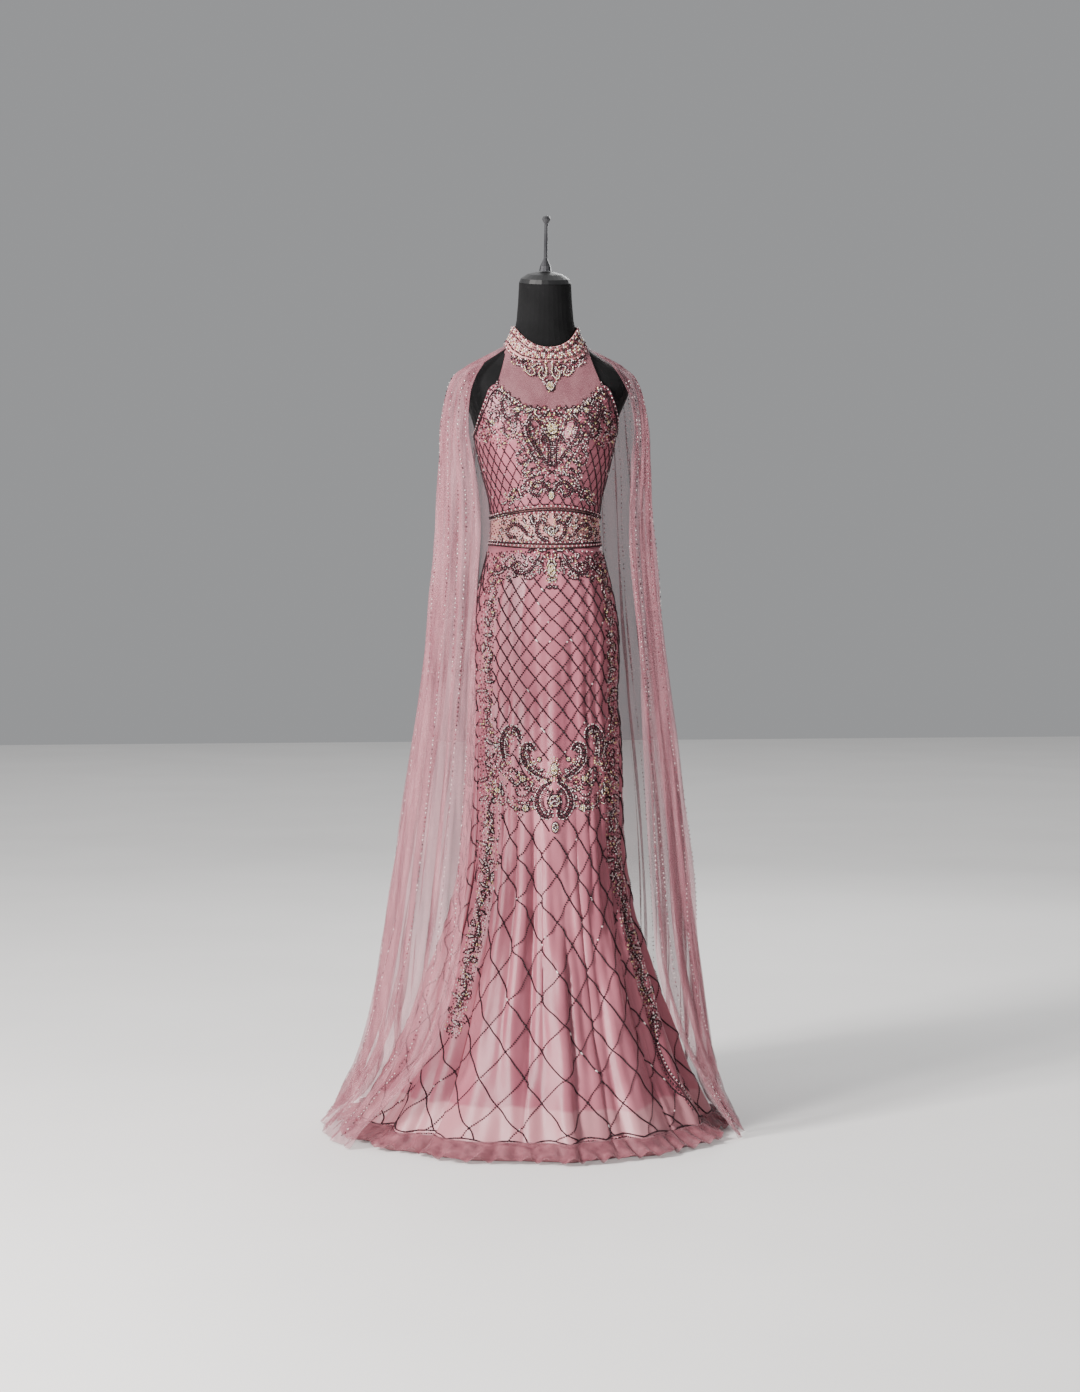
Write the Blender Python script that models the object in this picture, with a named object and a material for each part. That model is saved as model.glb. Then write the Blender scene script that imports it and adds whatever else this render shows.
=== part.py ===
"""Floor-length halter gown with a sheer cape, worn by a limbless dress form on a round stand.

Metres, +Z up. The gown faces -Y, and the wearer's left is +X. The origin is the centre of the
stand's underside, on the floor. Angles round the figure start at the centre front and grow
towards the wearer's left.
"""

import math

import bmesh
import bpy
import numpy as np
from mathutils import Vector
from mathutils.bvhtree import BVHTree

# Clearances and cloth thicknesses
SEAM = 0.0003
FORM_SHRINK = 0.0012
FORM_GAP = 0.0020
NET = 0.0010
SATIN = 0.0016
BAND = 0.0024
HIP_EASE = 0.0036

# Heights of the gown's lines above the floor
HIP = 0.83
TORSO_FOOT = 0.79
BELT_FOOT = (1.122, 1.130)
BELT_HEAD = (1.209, 1.190)
BACK_TOP = (1.350, 1.300)
COLLAR_FOOT = (1.480, 1.514, 1.526)
COLLAR_HEAD = (1.511, 1.553, 1.566)
NECK_TOP = 1.637
NECK_TILT = 0.16

# Half angle of the sweetheart line, and of the collar that the net yoke meets
SWEETHEART_END = math.radians(31.6)
YOKE_HEAD_END = math.radians(60)
CAPE_HEAD_END = math.radians(65)

# Columns: height, half width, front depth, back depth, squareness
FIGURE = [
    (0.790, 0.1280, 0.100, 0.108, 2.20),
    (0.830, 0.1345, 0.103, 0.114, 2.20),
    (0.900, 0.1385, 0.105, 0.119, 2.20),
    (0.960, 0.1375, 0.105, 0.117, 2.20),
    (1.020, 0.1300, 0.102, 0.107, 2.20),
    (1.080, 0.1160, 0.093, 0.092, 2.20),
    (1.130, 0.1045, 0.085, 0.081, 2.20),
    (1.170, 0.1010, 0.083, 0.078, 2.20),
    (1.215, 0.1050, 0.087, 0.083, 2.20),
    (1.265, 0.1170, 0.095, 0.093, 2.30),
    (1.310, 0.1275, 0.101, 0.101, 2.35),
    (1.350, 0.1350, 0.102, 0.106, 2.40),
    (1.385, 0.1460, 0.095, 0.107, 2.50),
    (1.415, 0.1600, 0.083, 0.103, 2.60),
    (1.437, 0.1680, 0.071, 0.094, 2.70),
    (1.452, 0.1660, 0.062, 0.086, 2.70),
    (1.468, 0.1470, 0.056, 0.080, 2.50),
    (1.485, 0.1180, 0.052, 0.075, 2.30),
    (1.502, 0.0920, 0.051, 0.070, 2.15),
    (1.518, 0.0740, 0.052, 0.065, 2.05),
    (1.540, 0.0620, 0.052, 0.060, 2.00),
    (1.565, 0.0565, 0.051, 0.056, 2.00),
    (1.600, 0.0535, 0.051, 0.053, 2.00),
    (1.637, 0.0515, 0.050, 0.051, 2.00),
]

# Below the hips the skirt hangs free. Columns as above
SKIRT_HANG = [
    (0.000, 0.3720, 0.360, 0.392, 2.00),
    (0.020, 0.3580, 0.348, 0.377, 2.00),
    (0.060, 0.3330, 0.322, 0.350, 2.00),
    (0.120, 0.2980, 0.288, 0.314, 2.00),
    (0.200, 0.2620, 0.251, 0.274, 2.02),
    (0.280, 0.2300, 0.219, 0.238, 2.05),
    (0.360, 0.1990, 0.191, 0.206, 2.08),
    (0.440, 0.1740, 0.168, 0.180, 2.10),
    (0.520, 0.1580, 0.151, 0.160, 2.12),
    (0.600, 0.1490, 0.139, 0.147, 2.15),
    (0.700, 0.1450, 0.128, 0.136, 2.20),
    (0.780, 0.1420, 0.118, 0.129, 2.20),
]

# How deep the skirt's folds are. Columns: height, depth
SKIRT_FOLDS = [
    (0.000, 0.020),
    (0.120, 0.022),
    (0.280, 0.017),
    (0.440, 0.010),
    (0.600, 0.005),
    (0.760, 0.002),
    (0.860, 0.000),
    (1.200, 0.000),
]
SKIRT_FOLD_COUNT = 14

# The hem lies wider on the wearer's right. Columns: height, share on the left, share on the right
SIDE_SHARES = [
    (0.000, 0.900, 1.030),
    (0.100, 0.905, 1.015),
    (0.300, 0.925, 1.000),
    (0.500, 0.960, 1.005),
    (0.800, 1.000, 1.010),
    (1.100, 1.000, 1.015),
    (1.460, 1.000, 1.010),
    (1.500, 1.000, 1.000),
]

# Top edge of the front bodice. Columns: angle from the centre front in degrees, height
BODICE_TOP = [
    (0.0, 1.390),
    (6.0, 1.384),
    (14.0, 1.388),
    (22.0, 1.408),
    (28.0, 1.428),
    (31.6, 1.436),
    (38.0, 1.428),
    (46.0, 1.410),
    (60.0, 1.385),
    (78.0, 1.358),
    (90.0, 1.350),
]

# Side edge of the net yoke. Columns: share of the way up, half width
YOKE_EDGE = [
    (0.00, 0.1000),
    (0.25, 0.0945),
    (0.50, 0.0885),
    (0.75, 0.0830),
    (1.00, 0.0780),
]

# The cape below its seam at the collar, one row for each level down. Columns: height at the side, half width,
# height at the back, back depth, height at the front edge, front edge's x, front edge's y, fold depth
CAPE = [
    (1.4760, 0.1500, 1.483, 0.0900, 1.4800, 0.1220, -0.046, 0.0025),
    (1.4560, 0.1755, 1.458, 0.1040, 1.4500, 0.1400, -0.058, 0.0030),
    (1.4230, 0.1880, 1.423, 0.1180, 1.4120, 0.1520, -0.080, 0.0045),
    (1.3600, 0.1970, 1.362, 0.1300, 1.3500, 0.1560, -0.113, 0.0070),
    (1.2780, 0.2010, 1.280, 0.1390, 1.2750, 0.1480, -0.132, 0.0095),
    (1.1600, 0.2070, 1.160, 0.1510, 1.1600, 0.1400, -0.144, 0.0125),
    (1.0000, 0.2200, 1.000, 0.1700, 1.0000, 0.1480, -0.174, 0.0150),
    (0.8300, 0.2400, 0.830, 0.1960, 0.8300, 0.1580, -0.208, 0.0175),
    (0.5400, 0.2850, 0.540, 0.2580, 0.5400, 0.1740, -0.236, 0.0215),
    (0.3600, 0.3140, 0.360, 0.3080, 0.3600, 0.1930, -0.258, 0.0240),
    (0.2000, 0.3430, 0.200, 0.3560, 0.2000, 0.2100, -0.283, 0.0250),
    (0.1000, 0.3700, 0.100, 0.3960, 0.1000, 0.2240, -0.305, 0.0240),
    (0.0350, 0.4000, 0.035, 0.4300, 0.0350, 0.2400, -0.332, 0.0180),
    (0.0018, 0.4220, 0.0018, 0.4560, 0.0018, 0.2520, -0.352, 0.0080),
]
CAPE_FOLD_COUNT = 21
CAPE_SQUARENESS = 2.25
CAPE_CLEAR = 0.0045
BELT_CORD = 0.08
COLLAR_CORD = 0.15
SHOULDER_FOOT = 1.30

# Bust cups: how far they stand out, and where
CUP_DEPTH = 0.021
CUP_X = 0.060
CUP_Z = 1.338
CUP_WIDTH = 0.036
CUP_HEIGHT = 0.046

# Tulle edge under the hem
FLOUNCE_TOP = 0.030
FLOUNCE_CLEAR = 0.0030
FLOUNCE_REACH = (0.036, 0.020)

# Stand
POLE_RADIUS = 0.0125
BASE_RADIUS = 0.135
BASE_THICKNESS = 0.014

FIGURE_COLUMNS = 36
COLLAR_COLUMNS = 36
SKIRT_HEIGHTS = (0.0008, 0.022, 0.065, 0.125, 0.20, 0.28, 0.36, 0.44, 0.53, 0.66, 0.80, 0.90, 0.98, 1.055)

# Thick beaded scrolls of the wearer's left side; each has a mirrored twin on the right. Columns:
# name, piece under it, width, points (x, z) from the curl outwards
SCROLLS = [
    ("collar_scroll", "yoke_front", 0.0042,
     [(0.014, 1.468), (0.020, 1.460), (0.017, 1.449), (0.009, 1.452), (0.005, 1.463), (0.007, 1.476)]),
    ("collar_side_scroll", "yoke_front", 0.0040,
     [(0.032, 1.470), (0.028, 1.460), (0.035, 1.455), (0.044, 1.462), (0.047, 1.473)]),
    ("sweetheart_scroll", "bodice_front", 0.0046,
     [(0.072, 1.385), (0.066, 1.374), (0.074, 1.366), (0.086, 1.372), (0.092, 1.388), (0.094, 1.404)]),
    ("bust_scroll", "bodice_front", 0.0056,
     [(0.024, 1.358), (0.028, 1.367), (0.040, 1.370), (0.049, 1.358), (0.047, 1.340), (0.036, 1.321),
      (0.021, 1.302), (0.010, 1.284)]),
    ("bust_inner_scroll", "bodice_front", 0.0046,
     [(0.021, 1.328), (0.018, 1.336), (0.010, 1.333), (0.006, 1.317), (0.006, 1.299), (0.0065, 1.282)]),
    ("midriff_scroll", "bodice_front", 0.0052,
     [(0.022, 1.225), (0.034, 1.228), (0.038, 1.240), (0.027, 1.251), (0.013, 1.247), (0.006, 1.236)]),
    ("waist_heart_scroll", "waistband_front", 0.0050,
     [(0.011, 1.172), (0.018, 1.178), (0.026, 1.171), (0.026, 1.155), (0.016, 1.142), (0.0065, 1.139)]),
    ("waist_side_scroll", "waistband_front", 0.0046,
     [(0.066, 1.146), (0.077, 1.148), (0.080, 1.160), (0.070, 1.171), (0.056, 1.166), (0.044, 1.150)]),
    ("hip_scroll", "skirt_front", 0.0048,
     [(0.062, 1.100), (0.072, 1.093), (0.066, 1.080), (0.050, 1.078), (0.037, 1.088), (0.028, 1.104)]),
    ("knee_heart_scroll", "skirt_front", 0.0056,
     [(0.007, 0.628), (0.009, 0.617), (0.021, 0.618), (0.031, 0.634), (0.032, 0.652), (0.022, 0.671),
      (0.008, 0.680)]),
    ("knee_inner_scroll", "skirt_front", 0.0058,
     [(0.036, 0.742), (0.044, 0.752), (0.056, 0.748), (0.058, 0.730), (0.050, 0.711), (0.034, 0.697),
      (0.020, 0.690)]),
    ("knee_outer_scroll", "skirt_front", 0.0056,
     [(0.063, 0.764), (0.067, 0.778), (0.080, 0.784), (0.092, 0.771), (0.096, 0.748), (0.092, 0.722)]),
]
# Faceted stones on the centre line. Columns: name, piece under it, height, half width, half height
STONES = [
    ("collar_stone", "yoke_front", 1.434, 0.0065, 0.0080),
    ("bust_stone", "bodice_front", 1.352, 0.0090, 0.0090),
    ("midriff_stone", "bodice_front", 1.226, 0.0045, 0.0070),
    ("waist_stone", "waistband_front", 1.158, 0.0055, 0.0080),
    ("hip_stone", "skirt_front", 1.084, 0.0060, 0.0120),
    ("knee_upper_stone", "skirt_front", 0.706, 0.0050, 0.0100),
    ("knee_stone", "skirt_front", 0.646, 0.0090, 0.0100),
    ("knee_drop_stone", "skirt_front", 0.596, 0.0050, 0.0085),
]
SCROLL_LIFT = 0.0009
SCROLL_HEIGHT = 0.0022
STONE_HEIGHT = 0.0034


def smooth(table, key, column):
    """A column of a table at key, on a smooth curve that never overshoots its rows."""
    keys = [row[0] for row in table]
    values = [row[column] for row in table]
    if key <= keys[0]:
        return values[0]
    if key >= keys[-1]:
        return values[-1]
    i = next(k for k in range(len(keys) - 1) if key <= keys[k + 1])
    steps = [
        (values[k + 1] - values[k]) / (keys[k + 1] - keys[k]) for k in range(len(keys) - 1)
    ]

    def slope(k):
        if k in (0, len(keys) - 1):
            return steps[min(k, len(steps) - 1)]
        before, after = steps[k - 1], steps[k]
        if before * after <= 0:
            return 0.0
        return 2 * before * after / (before + after)

    width = keys[i + 1] - keys[i]
    t = (key - keys[i]) / width
    return (
        (2 * t**3 - 3 * t**2 + 1) * values[i]
        + (t**3 - 2 * t**2 + t) * width * slope(i)
        + (3 * t**2 - 2 * t**3) * values[i + 1]
        + (t**3 - t**2) * width * slope(i + 1)
    )


def ease(t):
    """From 0 to 1 with no slope at either end."""
    t = min(1.0, max(0.0, t))
    return t * t * (3 - 2 * t)


def power(value, exponent):
    """A power that keeps its value's sign."""
    return math.copysign(abs(value) ** exponent, value)


def oval(angle, half_width, front, back, squareness):
    """A point of a rounded section, at an angle from the centre front."""
    depth = front if math.cos(angle) > 0 else back
    return (
        half_width * power(math.sin(angle), 2 / squareness),
        -depth * power(math.cos(angle), 2 / squareness),
    )


def lifted(surface, a, b, lift):
    """A surface's point moved out along its normal."""
    step = 1e-4
    along = Vector(surface(a + step, b)) - Vector(surface(a - step, b))
    up = Vector(surface(a, b + step)) - Vector(surface(a, b - step))
    return Vector(surface(a, b)) + lift * along.cross(up).normalized()


def figure(angle, z):
    """The dress form's surface."""
    half_width, front, back, squareness = (smooth(FIGURE, z, k) for k in (1, 2, 3, 4))
    x, y = oval(angle, half_width, front, back, squareness)
    cups = sum(math.exp(-(((x - side * CUP_X) / CUP_WIDTH) ** 2)) for side in (-1, 1))
    if y < 0:
        y -= CUP_DEPTH * cups * math.exp(-(((z - CUP_Z) / CUP_HEIGHT) ** 2)) * ease(-y / 0.06)
    return x, y, z


def around(front, side, back, angle):
    """A height that runs smoothly from the centre front by the side to the centre back."""
    share = abs(angle) / (math.pi / 2)
    if share < 1:
        return front + (side - front) * ease(share)
    return side + (back - side) * ease(share - 1)


SKIRT = SKIRT_HANG + [row for row in FIGURE if HIP <= row[0] < BELT_HEAD[1]]


def skirt_wave(turn):
    """How deep in a fold the skirt is, from 0 on a crest to 1, at a share of a turn."""
    fold = SKIRT_FOLD_COUNT * turn
    weight = 0.72 + 0.28 * math.sin(2.6 * math.floor(fold + 0.5))
    return weight * (0.5 - 0.5 * math.cos(2 * math.pi * fold))


def skirt_angle(turn):
    """Uneven spacing of the folds; the side seams stay at the sides."""
    return 2 * math.pi * turn + 0.07 * math.sin(4 * math.pi * turn)


def skirt(turn, z):
    half_width, front, back, squareness = (smooth(SKIRT, z, k) for k in (1, 2, 3, 4))
    x, y = oval(skirt_angle(turn), half_width, front, back, squareness)
    shrink = 1 - smooth(SKIRT_FOLDS, z, 1) * skirt_wave(turn) / math.hypot(x, y)
    return to_side(x * shrink, z) if z < HIP else x * shrink, y * shrink, z


def to_side(x, z):
    """A width at a height, drawn in or out for its side."""
    return x * smooth(SIDE_SHARES, z, 1 if x > 0 else 2)


def clear_of_figure(x, y, z, gap):
    """A point moved straight out from the pole until it is clear of the dress form."""
    if z < SHOULDER_FOOT:
        return x, y
    half_width, front, back, squareness = (smooth(FIGURE, z, k) for k in (1, 2, 3, 4))
    depth = front if y < 0 else back
    size = (abs(x) / half_width) ** squareness + (abs(y) / depth) ** squareness
    size = size ** (1 / squareness)
    least = 1 + gap / max(math.hypot(x, y) / size, 0.02)
    grow = max(1.0, least / size)
    return x * grow, y * grow


def cape(share, level):
    """The cape at a share from the wearer's right front edge, -1, round the back to the left one, 1."""
    columns = [(float(i), *row) for i, row in enumerate(CAPE)]
    values = [smooth(columns, level, k) for k in range(1, 9)]
    side_z, half_width, back_z, back, edge_z, edge_x, edge_y, fold = values
    edge = math.asin((edge_x / half_width) ** (CAPE_SQUARENESS / 2))
    front = -edge_y / math.cos(edge) ** (2 / CAPE_SQUARENESS)
    angle = math.pi - (math.pi - edge) * abs(share)
    x, y = oval(angle, half_width, front, back, CAPE_SQUARENESS)
    if angle < math.pi / 2:
        z = edge_z + (side_z - edge_z) * ease((angle - edge) / (math.pi / 2 - edge))
    else:
        z = side_z + (back_z - side_z) * ease(angle / (math.pi / 2) - 1)
    wave = CAPE_FOLD_COUNT * (share + 1) / 2
    weight = 0.75 + 0.25 * math.sin(2.3 * math.floor(wave + 0.5))
    shrink = 1 - fold * weight * (0.5 - 0.5 * math.cos(2 * math.pi * wave)) / math.hypot(x, y)
    x = to_side(math.copysign(x * shrink, share), z)
    x, y = clear_of_figure(x, y * shrink, z, CAPE_CLEAR)
    return x, y, z


def collar_z(angle, share):
    foot, head = around(*COLLAR_FOOT, angle), around(*COLLAR_HEAD, angle)
    return foot + (head - foot) * share


def belt_z(angle, share):
    foot = around(BELT_FOOT[0], BELT_FOOT[1], BELT_FOOT[1], angle)
    head = around(BELT_HEAD[0], BELT_HEAD[1], BELT_HEAD[1], angle)
    return foot + (head - foot) * share


def front_top_z(angle):
    return smooth(BODICE_TOP, math.degrees(abs(angle)), 1)


def material(name, colour, roughness, metallic=0.0, alpha=1.0):
    made = bpy.data.materials.new(name)
    made.use_nodes = True
    shader = made.node_tree.nodes["Principled BSDF"]
    shader.inputs["Base Color"].default_value = (*colour, 1)
    shader.inputs["Roughness"].default_value = roughness
    shader.inputs["Metallic"].default_value = metallic
    shader.inputs["Alpha"].default_value = alpha
    made.diffuse_color = (*colour, alpha)
    return made


def add(name, mesh, finish):
    obj = bpy.data.objects.new(name, mesh)
    bpy.context.scene.collection.objects.link(obj)
    mesh.materials.append(finish)
    mesh.shade_smooth()
    mesh.set_sharp_from_angle(angle=math.radians(40))
    return obj


def closed_mesh(name, points, faces):
    """A mesh of these faces, turned to point out."""
    shape = bmesh.new()
    verts = [shape.verts.new(p) for p in points]
    for face in faces:
        shape.faces.new([verts[i] for i in face])
    bmesh.ops.recalc_face_normals(shape, faces=shape.faces)
    mesh = bpy.data.meshes.new(name)
    shape.to_mesh(mesh)
    shape.free()
    return mesh


def moved(grid, distance, ring=False):
    """A grid's points moved out along its normals. On a ring the last column repeats the first."""
    if ring:
        wide = np.concatenate([grid[:, -2:-1], grid, grid[:, 1:2]], axis=1)
        along = wide[:, 2:] - wide[:, :-2]
    else:
        along = np.gradient(grid, axis=1)
    normal = np.cross(along, np.gradient(grid, axis=0))
    return grid + distance * normal / np.linalg.norm(normal, axis=2, keepdims=True)


def drawn_in(grid, gap):
    """A copy of the grid with its first and last columns drawn in by a gap."""
    grid = grid.copy()
    for edge, inside in ((0, 1), (-1, -2)):
        step = grid[:, inside] - grid[:, edge]
        grid[:, edge] += gap * step / np.linalg.norm(step, axis=1, keepdims=True)
    return grid


def halves_of(grid):
    """Two triangles for each cell of a grid, split along the shorter diagonal, as (row, column)."""
    found = []
    for i in range(grid.shape[0] - 1):
        for j in range(grid.shape[1] - 1):
            corners = [(i, j), (i, j + 1), (i + 1, j + 1), (i + 1, j)]
            a, b, c, d = (grid[k] for k in corners)
            if np.linalg.norm(a - c) > np.linalg.norm(b - d):
                corners = corners[1:] + corners[:1]
            a, b, c, d = corners
            found += [(a, b, c), (a, c, d)]
    return found


def wall(name, outer, inner, finish):
    """A cloth wall between two grids of points. Both sides are split along the same diagonals."""
    rows, columns = outer.shape[:2]
    points = np.concatenate([outer.reshape(-1, 3), inner.reshape(-1, 3)])

    def at(layer, row, column):
        return (layer * rows + row) * columns + column

    faces = []
    for corners in halves_of(outer):
        faces += [tuple(at(layer, *k) for k in corners) for layer in (0, 1)]
    for j in range(columns - 1):
        for i in (0, rows - 1):
            faces.append((at(0, i, j), at(0, i, j + 1), at(1, i, j + 1), at(1, i, j)))
    for i in range(rows - 1):
        for j in (0, columns - 1):
            faces.append((at(0, i, j), at(0, i + 1, j), at(1, i + 1, j), at(1, i, j)))
    return add(name, closed_mesh(name, points, faces), finish)


def spread(start, end, count):
    return [start + (end - start) * k / count for k in range(count + 1)]


def turned(name, profile, steps, finish):
    """A round piece, from its profile down the outer side."""
    mesh = bpy.data.meshes.new(name)
    points = [(r, 0, z) for r, z in profile]
    mesh.from_pydata(points, [(i, i + 1) for i in range(len(points) - 1)], [])
    obj = bpy.data.objects.new(name, mesh)
    bpy.context.scene.collection.objects.link(obj)
    mesh.materials.append(finish)
    screw = obj.modifiers.new("turn", "SCREW")
    screw.axis = "Z"
    screw.steps = steps
    screw.render_steps = steps
    screw.use_merge_vertices = True
    screw.merge_threshold = 1e-5
    screw.use_smooth_shade = True
    return obj


def build_form(cloth, cap_finish, steel):
    """Torso with its neck, the neck cap, the finial and the stand."""
    angles = spread(-math.pi, math.pi, FIGURE_COLUMNS)[:-1]
    points = []
    for row in FIGURE:
        for angle in angles:
            inside = min(max(row[0], FIGURE[0][0] + 0.001), NECK_TOP - 0.001)
            point = lifted(figure, angle, inside, -FORM_SHRINK)
            point.z = row[0] + (NECK_TILT * point.y if row[0] == NECK_TOP else 0)
            points.append(point)
    count = len(angles)
    faces = []
    for i in range(len(FIGURE) - 1):
        for j in range(count):
            k = (j + 1) % count
            faces.append([i * count + j, i * count + k, (i + 1) * count + k, (i + 1) * count + j])
    faces.append(list(range(count)))
    faces.append([(len(FIGURE) - 1) * count + j for j in range(count)])
    add("form_torso", closed_mesh("form_torso", points, faces), cloth)

    tilt = math.atan(NECK_TILT)
    cap_profile = [(0.0, 0.022), (0.016, 0.021), (0.034, 0.0165), (0.047, 0.008), (0.0505, 0.0), (0.0, 0.0)]
    cap = turned("form_neck_cap", cap_profile, 24, cap_finish)
    cap.rotation_euler = (tilt, 0, 0)
    cap.location = (0, 0, NECK_TOP + 2 * SEAM)
    knob = [(0.0, 0.106), (0.006, 0.104), (0.0085, 0.099), (0.006, 0.094), (0.0035, 0.090)]
    stem = [(0.0035, 0.024), (0.010, 0.010), (0.012, 0.0), (0.0, 0.0)]
    finial = turned("form_finial", knob + stem, 12, steel)
    finial.rotation_euler = (tilt, 0, 0)
    finial.location = (0, -0.022 * math.sin(tilt), NECK_TOP + 0.022 * math.cos(tilt) + 5 * SEAM)
    top = TORSO_FOOT - SEAM
    sleeve = POLE_RADIUS + 0.011
    post = [(0.0, top), (sleeve, top), (sleeve, top - 0.008), (POLE_RADIUS, top - 0.014)]
    foot = [(POLE_RADIUS, 0.070), (POLE_RADIUS + 0.007, BASE_THICKNESS + 0.020)]
    plate = [
        (POLE_RADIUS + 0.020, BASE_THICKNESS + 0.004),
        (BASE_RADIUS - 0.008, BASE_THICKNESS),
        (BASE_RADIUS, BASE_THICKNESS - 0.005),
        (BASE_RADIUS, 0.0),
        (0.0, 0.0),
    ]
    turned("form_stand", post + foot + plate, 24, steel)


def on_figure(angles, shares, height, lift):
    """A grid of points that follows the figure. height(angle, share) gives its heights."""
    return np.array(
        [
            [lifted(figure, a, height(a, s), lift(s) if callable(lift) else lift) for a in angles]
            for s in shares
        ]
    )


def build_bodice(net, cloth, band):
    """Collar, net yoke, the bodice's front and back, and the belt. Gives the outer grids of some."""
    peak = spread(0, SWEETHEART_END, 3)
    half = peak + spread(SWEETHEART_END, math.pi / 2, 6)[1:]
    front_angles = [-a for a in half[:0:-1]] + half
    back_angles = [a + math.pi for a in spread(-math.pi / 2, math.pi / 2, FIGURE_COLUMNS // 2)]
    inner, outer = FORM_GAP, FORM_GAP + SATIN

    def front_z(angle, share):
        foot = belt_z(angle, 1) + SEAM
        return foot + (front_top_z(angle) - foot) * share

    def back_z(angle, share):
        foot = belt_z(math.pi, 1) + SEAM
        fall = ease(abs(angle - math.pi) / (math.pi / 2))
        return foot + (BACK_TOP[1] + (BACK_TOP[0] - BACK_TOP[1]) * fall - foot) * share

    def belt_lift(share):
        return FORM_GAP + BAND + (0.0016 if min(share, 1 - share) == BELT_CORD else 0.0)

    def back_belt_z(angle, share):
        return belt_z(math.pi, share)

    def collar_lift(share):
        if share == 0:
            return FORM_GAP + NET
        return FORM_GAP + BAND + (0.0012 if min(share, 1 - share) == COLLAR_CORD else 0.0)

    def piece(name, angles, shares, height, top, finish):
        grids = [drawn_in(on_figure(angles, shares, height, lift), SEAM / 2) for lift in (top, inner)]
        wall(name, *grids, finish)
        return grids[0]

    fronts = {}
    fronts["bodice_front"] = piece(
        "bodice_front", front_angles, spread(0, 1, 9), front_z, outer, cloth
    )
    piece("bodice_back", back_angles, spread(0, 1, 6), back_z, outer, cloth)
    belt_shares = [0.0, BELT_CORD, 0.5, 1 - BELT_CORD, 1.0]
    fronts["waistband_front"] = piece(
        "waistband_front", front_angles, belt_shares, belt_z, belt_lift, band
    )
    piece("waistband_back", back_angles, belt_shares, back_belt_z, belt_lift, band)
    collar_angles = spread(-math.pi, math.pi, COLLAR_COLUMNS)
    collar_shares = [0.0, COLLAR_CORD, 0.5, 1 - COLLAR_CORD, 1.0]
    piece("collar", collar_angles, collar_shares, collar_z, collar_lift, band)

    def yoke_point(column, share, lift):
        """Even columns meet the bodice's own points, and the ones between lie halfway."""
        if share == 0 and column % 2:
            before, after = (yoke_point(k, 0, lift) for k in (column - 1, column + 1))
            return (before + after) / 2
        across = column / 6 - 1
        low = across * SWEETHEART_END
        foot = front_top_z(low) + SEAM
        head = collar_z(across * YOKE_HEAD_END, 0) - SEAM
        if share in (0, 1):
            return lifted(figure, (low, across * YOKE_HEAD_END)[share], (foot, head)[share], lift)
        z = foot + (head - foot) * share
        limit = smooth(YOKE_EDGE, share, 1) / smooth(FIGURE, z, 1)
        reach = math.asin(min(0.98, limit) ** (smooth(FIGURE, z, 4) / 2))
        return lifted(figure, reach * across, z, lift)

    shares = [0, 0.14, 0.30, 0.47, 0.64, 0.82, 1]
    top, under = (
        np.array([[yoke_point(k, s, lift) for k in range(13)] for s in shares])
        for lift in (FORM_GAP + NET, FORM_GAP)
    )
    under[1:-1] = moved(top, -NET)[1:-1]
    wall("yoke_front", top, under, net)
    fronts["yoke_front"] = top
    return fronts


def build_skirt(cloth, net):
    """Trumpet skirt in two panels, and the tulle edge round its hem. Gives the front's outer grid."""
    turns = spread(-0.25, 0.75, 4 * SKIRT_FOLD_COUNT)
    rows = [[skirt(turn, z) for turn in turns] for z in SKIRT_HEIGHTS]
    top = []
    for turn in turns:
        angle = math.remainder(skirt_angle(turn), 2 * math.pi)
        top.append(skirt(turn, belt_z(angle, 0) - SEAM))
    base = np.array(rows + [top])
    inner = moved(base, HIP_EASE, ring=True)
    outer = moved(base, HIP_EASE + SATIN, ring=True)
    for grid in (inner, outer):
        grid[0, :, 2] = SKIRT_HEIGHTS[0]
        grid[-1, :, 2] = base[-1, :, 2]
    middle = len(turns) // 2
    halves = {"front": slice(0, middle + 1), "back": slice(middle, None)}
    for side, part in halves.items():
        grids = [drawn_in(grid[:, part], SEAM / 2) for grid in (outer, inner)]
        wall("skirt_" + side, *grids, cloth)
        if side == "front":
            front = grids[0]

    shares = (0.0, 0.35, 0.7, 1.0)
    frill = []
    for share in shares:
        height = FLOUNCE_TOP * (1 - share) ** 1.4
        ring = []
        for k, turn in enumerate(turns):
            low, high = outer[0, k], outer[2, k]
            point = low + (high - low) * height / (high[2] - low[2])
            angle = math.remainder(skirt_angle(turn), 2 * math.pi)
            reach = around(FLOUNCE_REACH[0], FLOUNCE_REACH[1], FLOUNCE_REACH[0], angle)
            crest = k % 2
            away = FLOUNCE_CLEAR + share * (reach + 0.006 * crest)
            x, y = point[:2] * (1 + away / math.hypot(point[0], point[1]))
            ring.append((x, y, height + 0.0022 + 0.009 * crest * share))
        frill.append(ring)
    frill = np.array(frill)
    under = moved(frill, -NET, ring=True)
    for side, part in halves.items():
        grids = [drawn_in(grid[:, part], SEAM / 2) for grid in (frill, under)]
        wall("hem_flounce_" + side, *grids, net)
    return front


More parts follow.
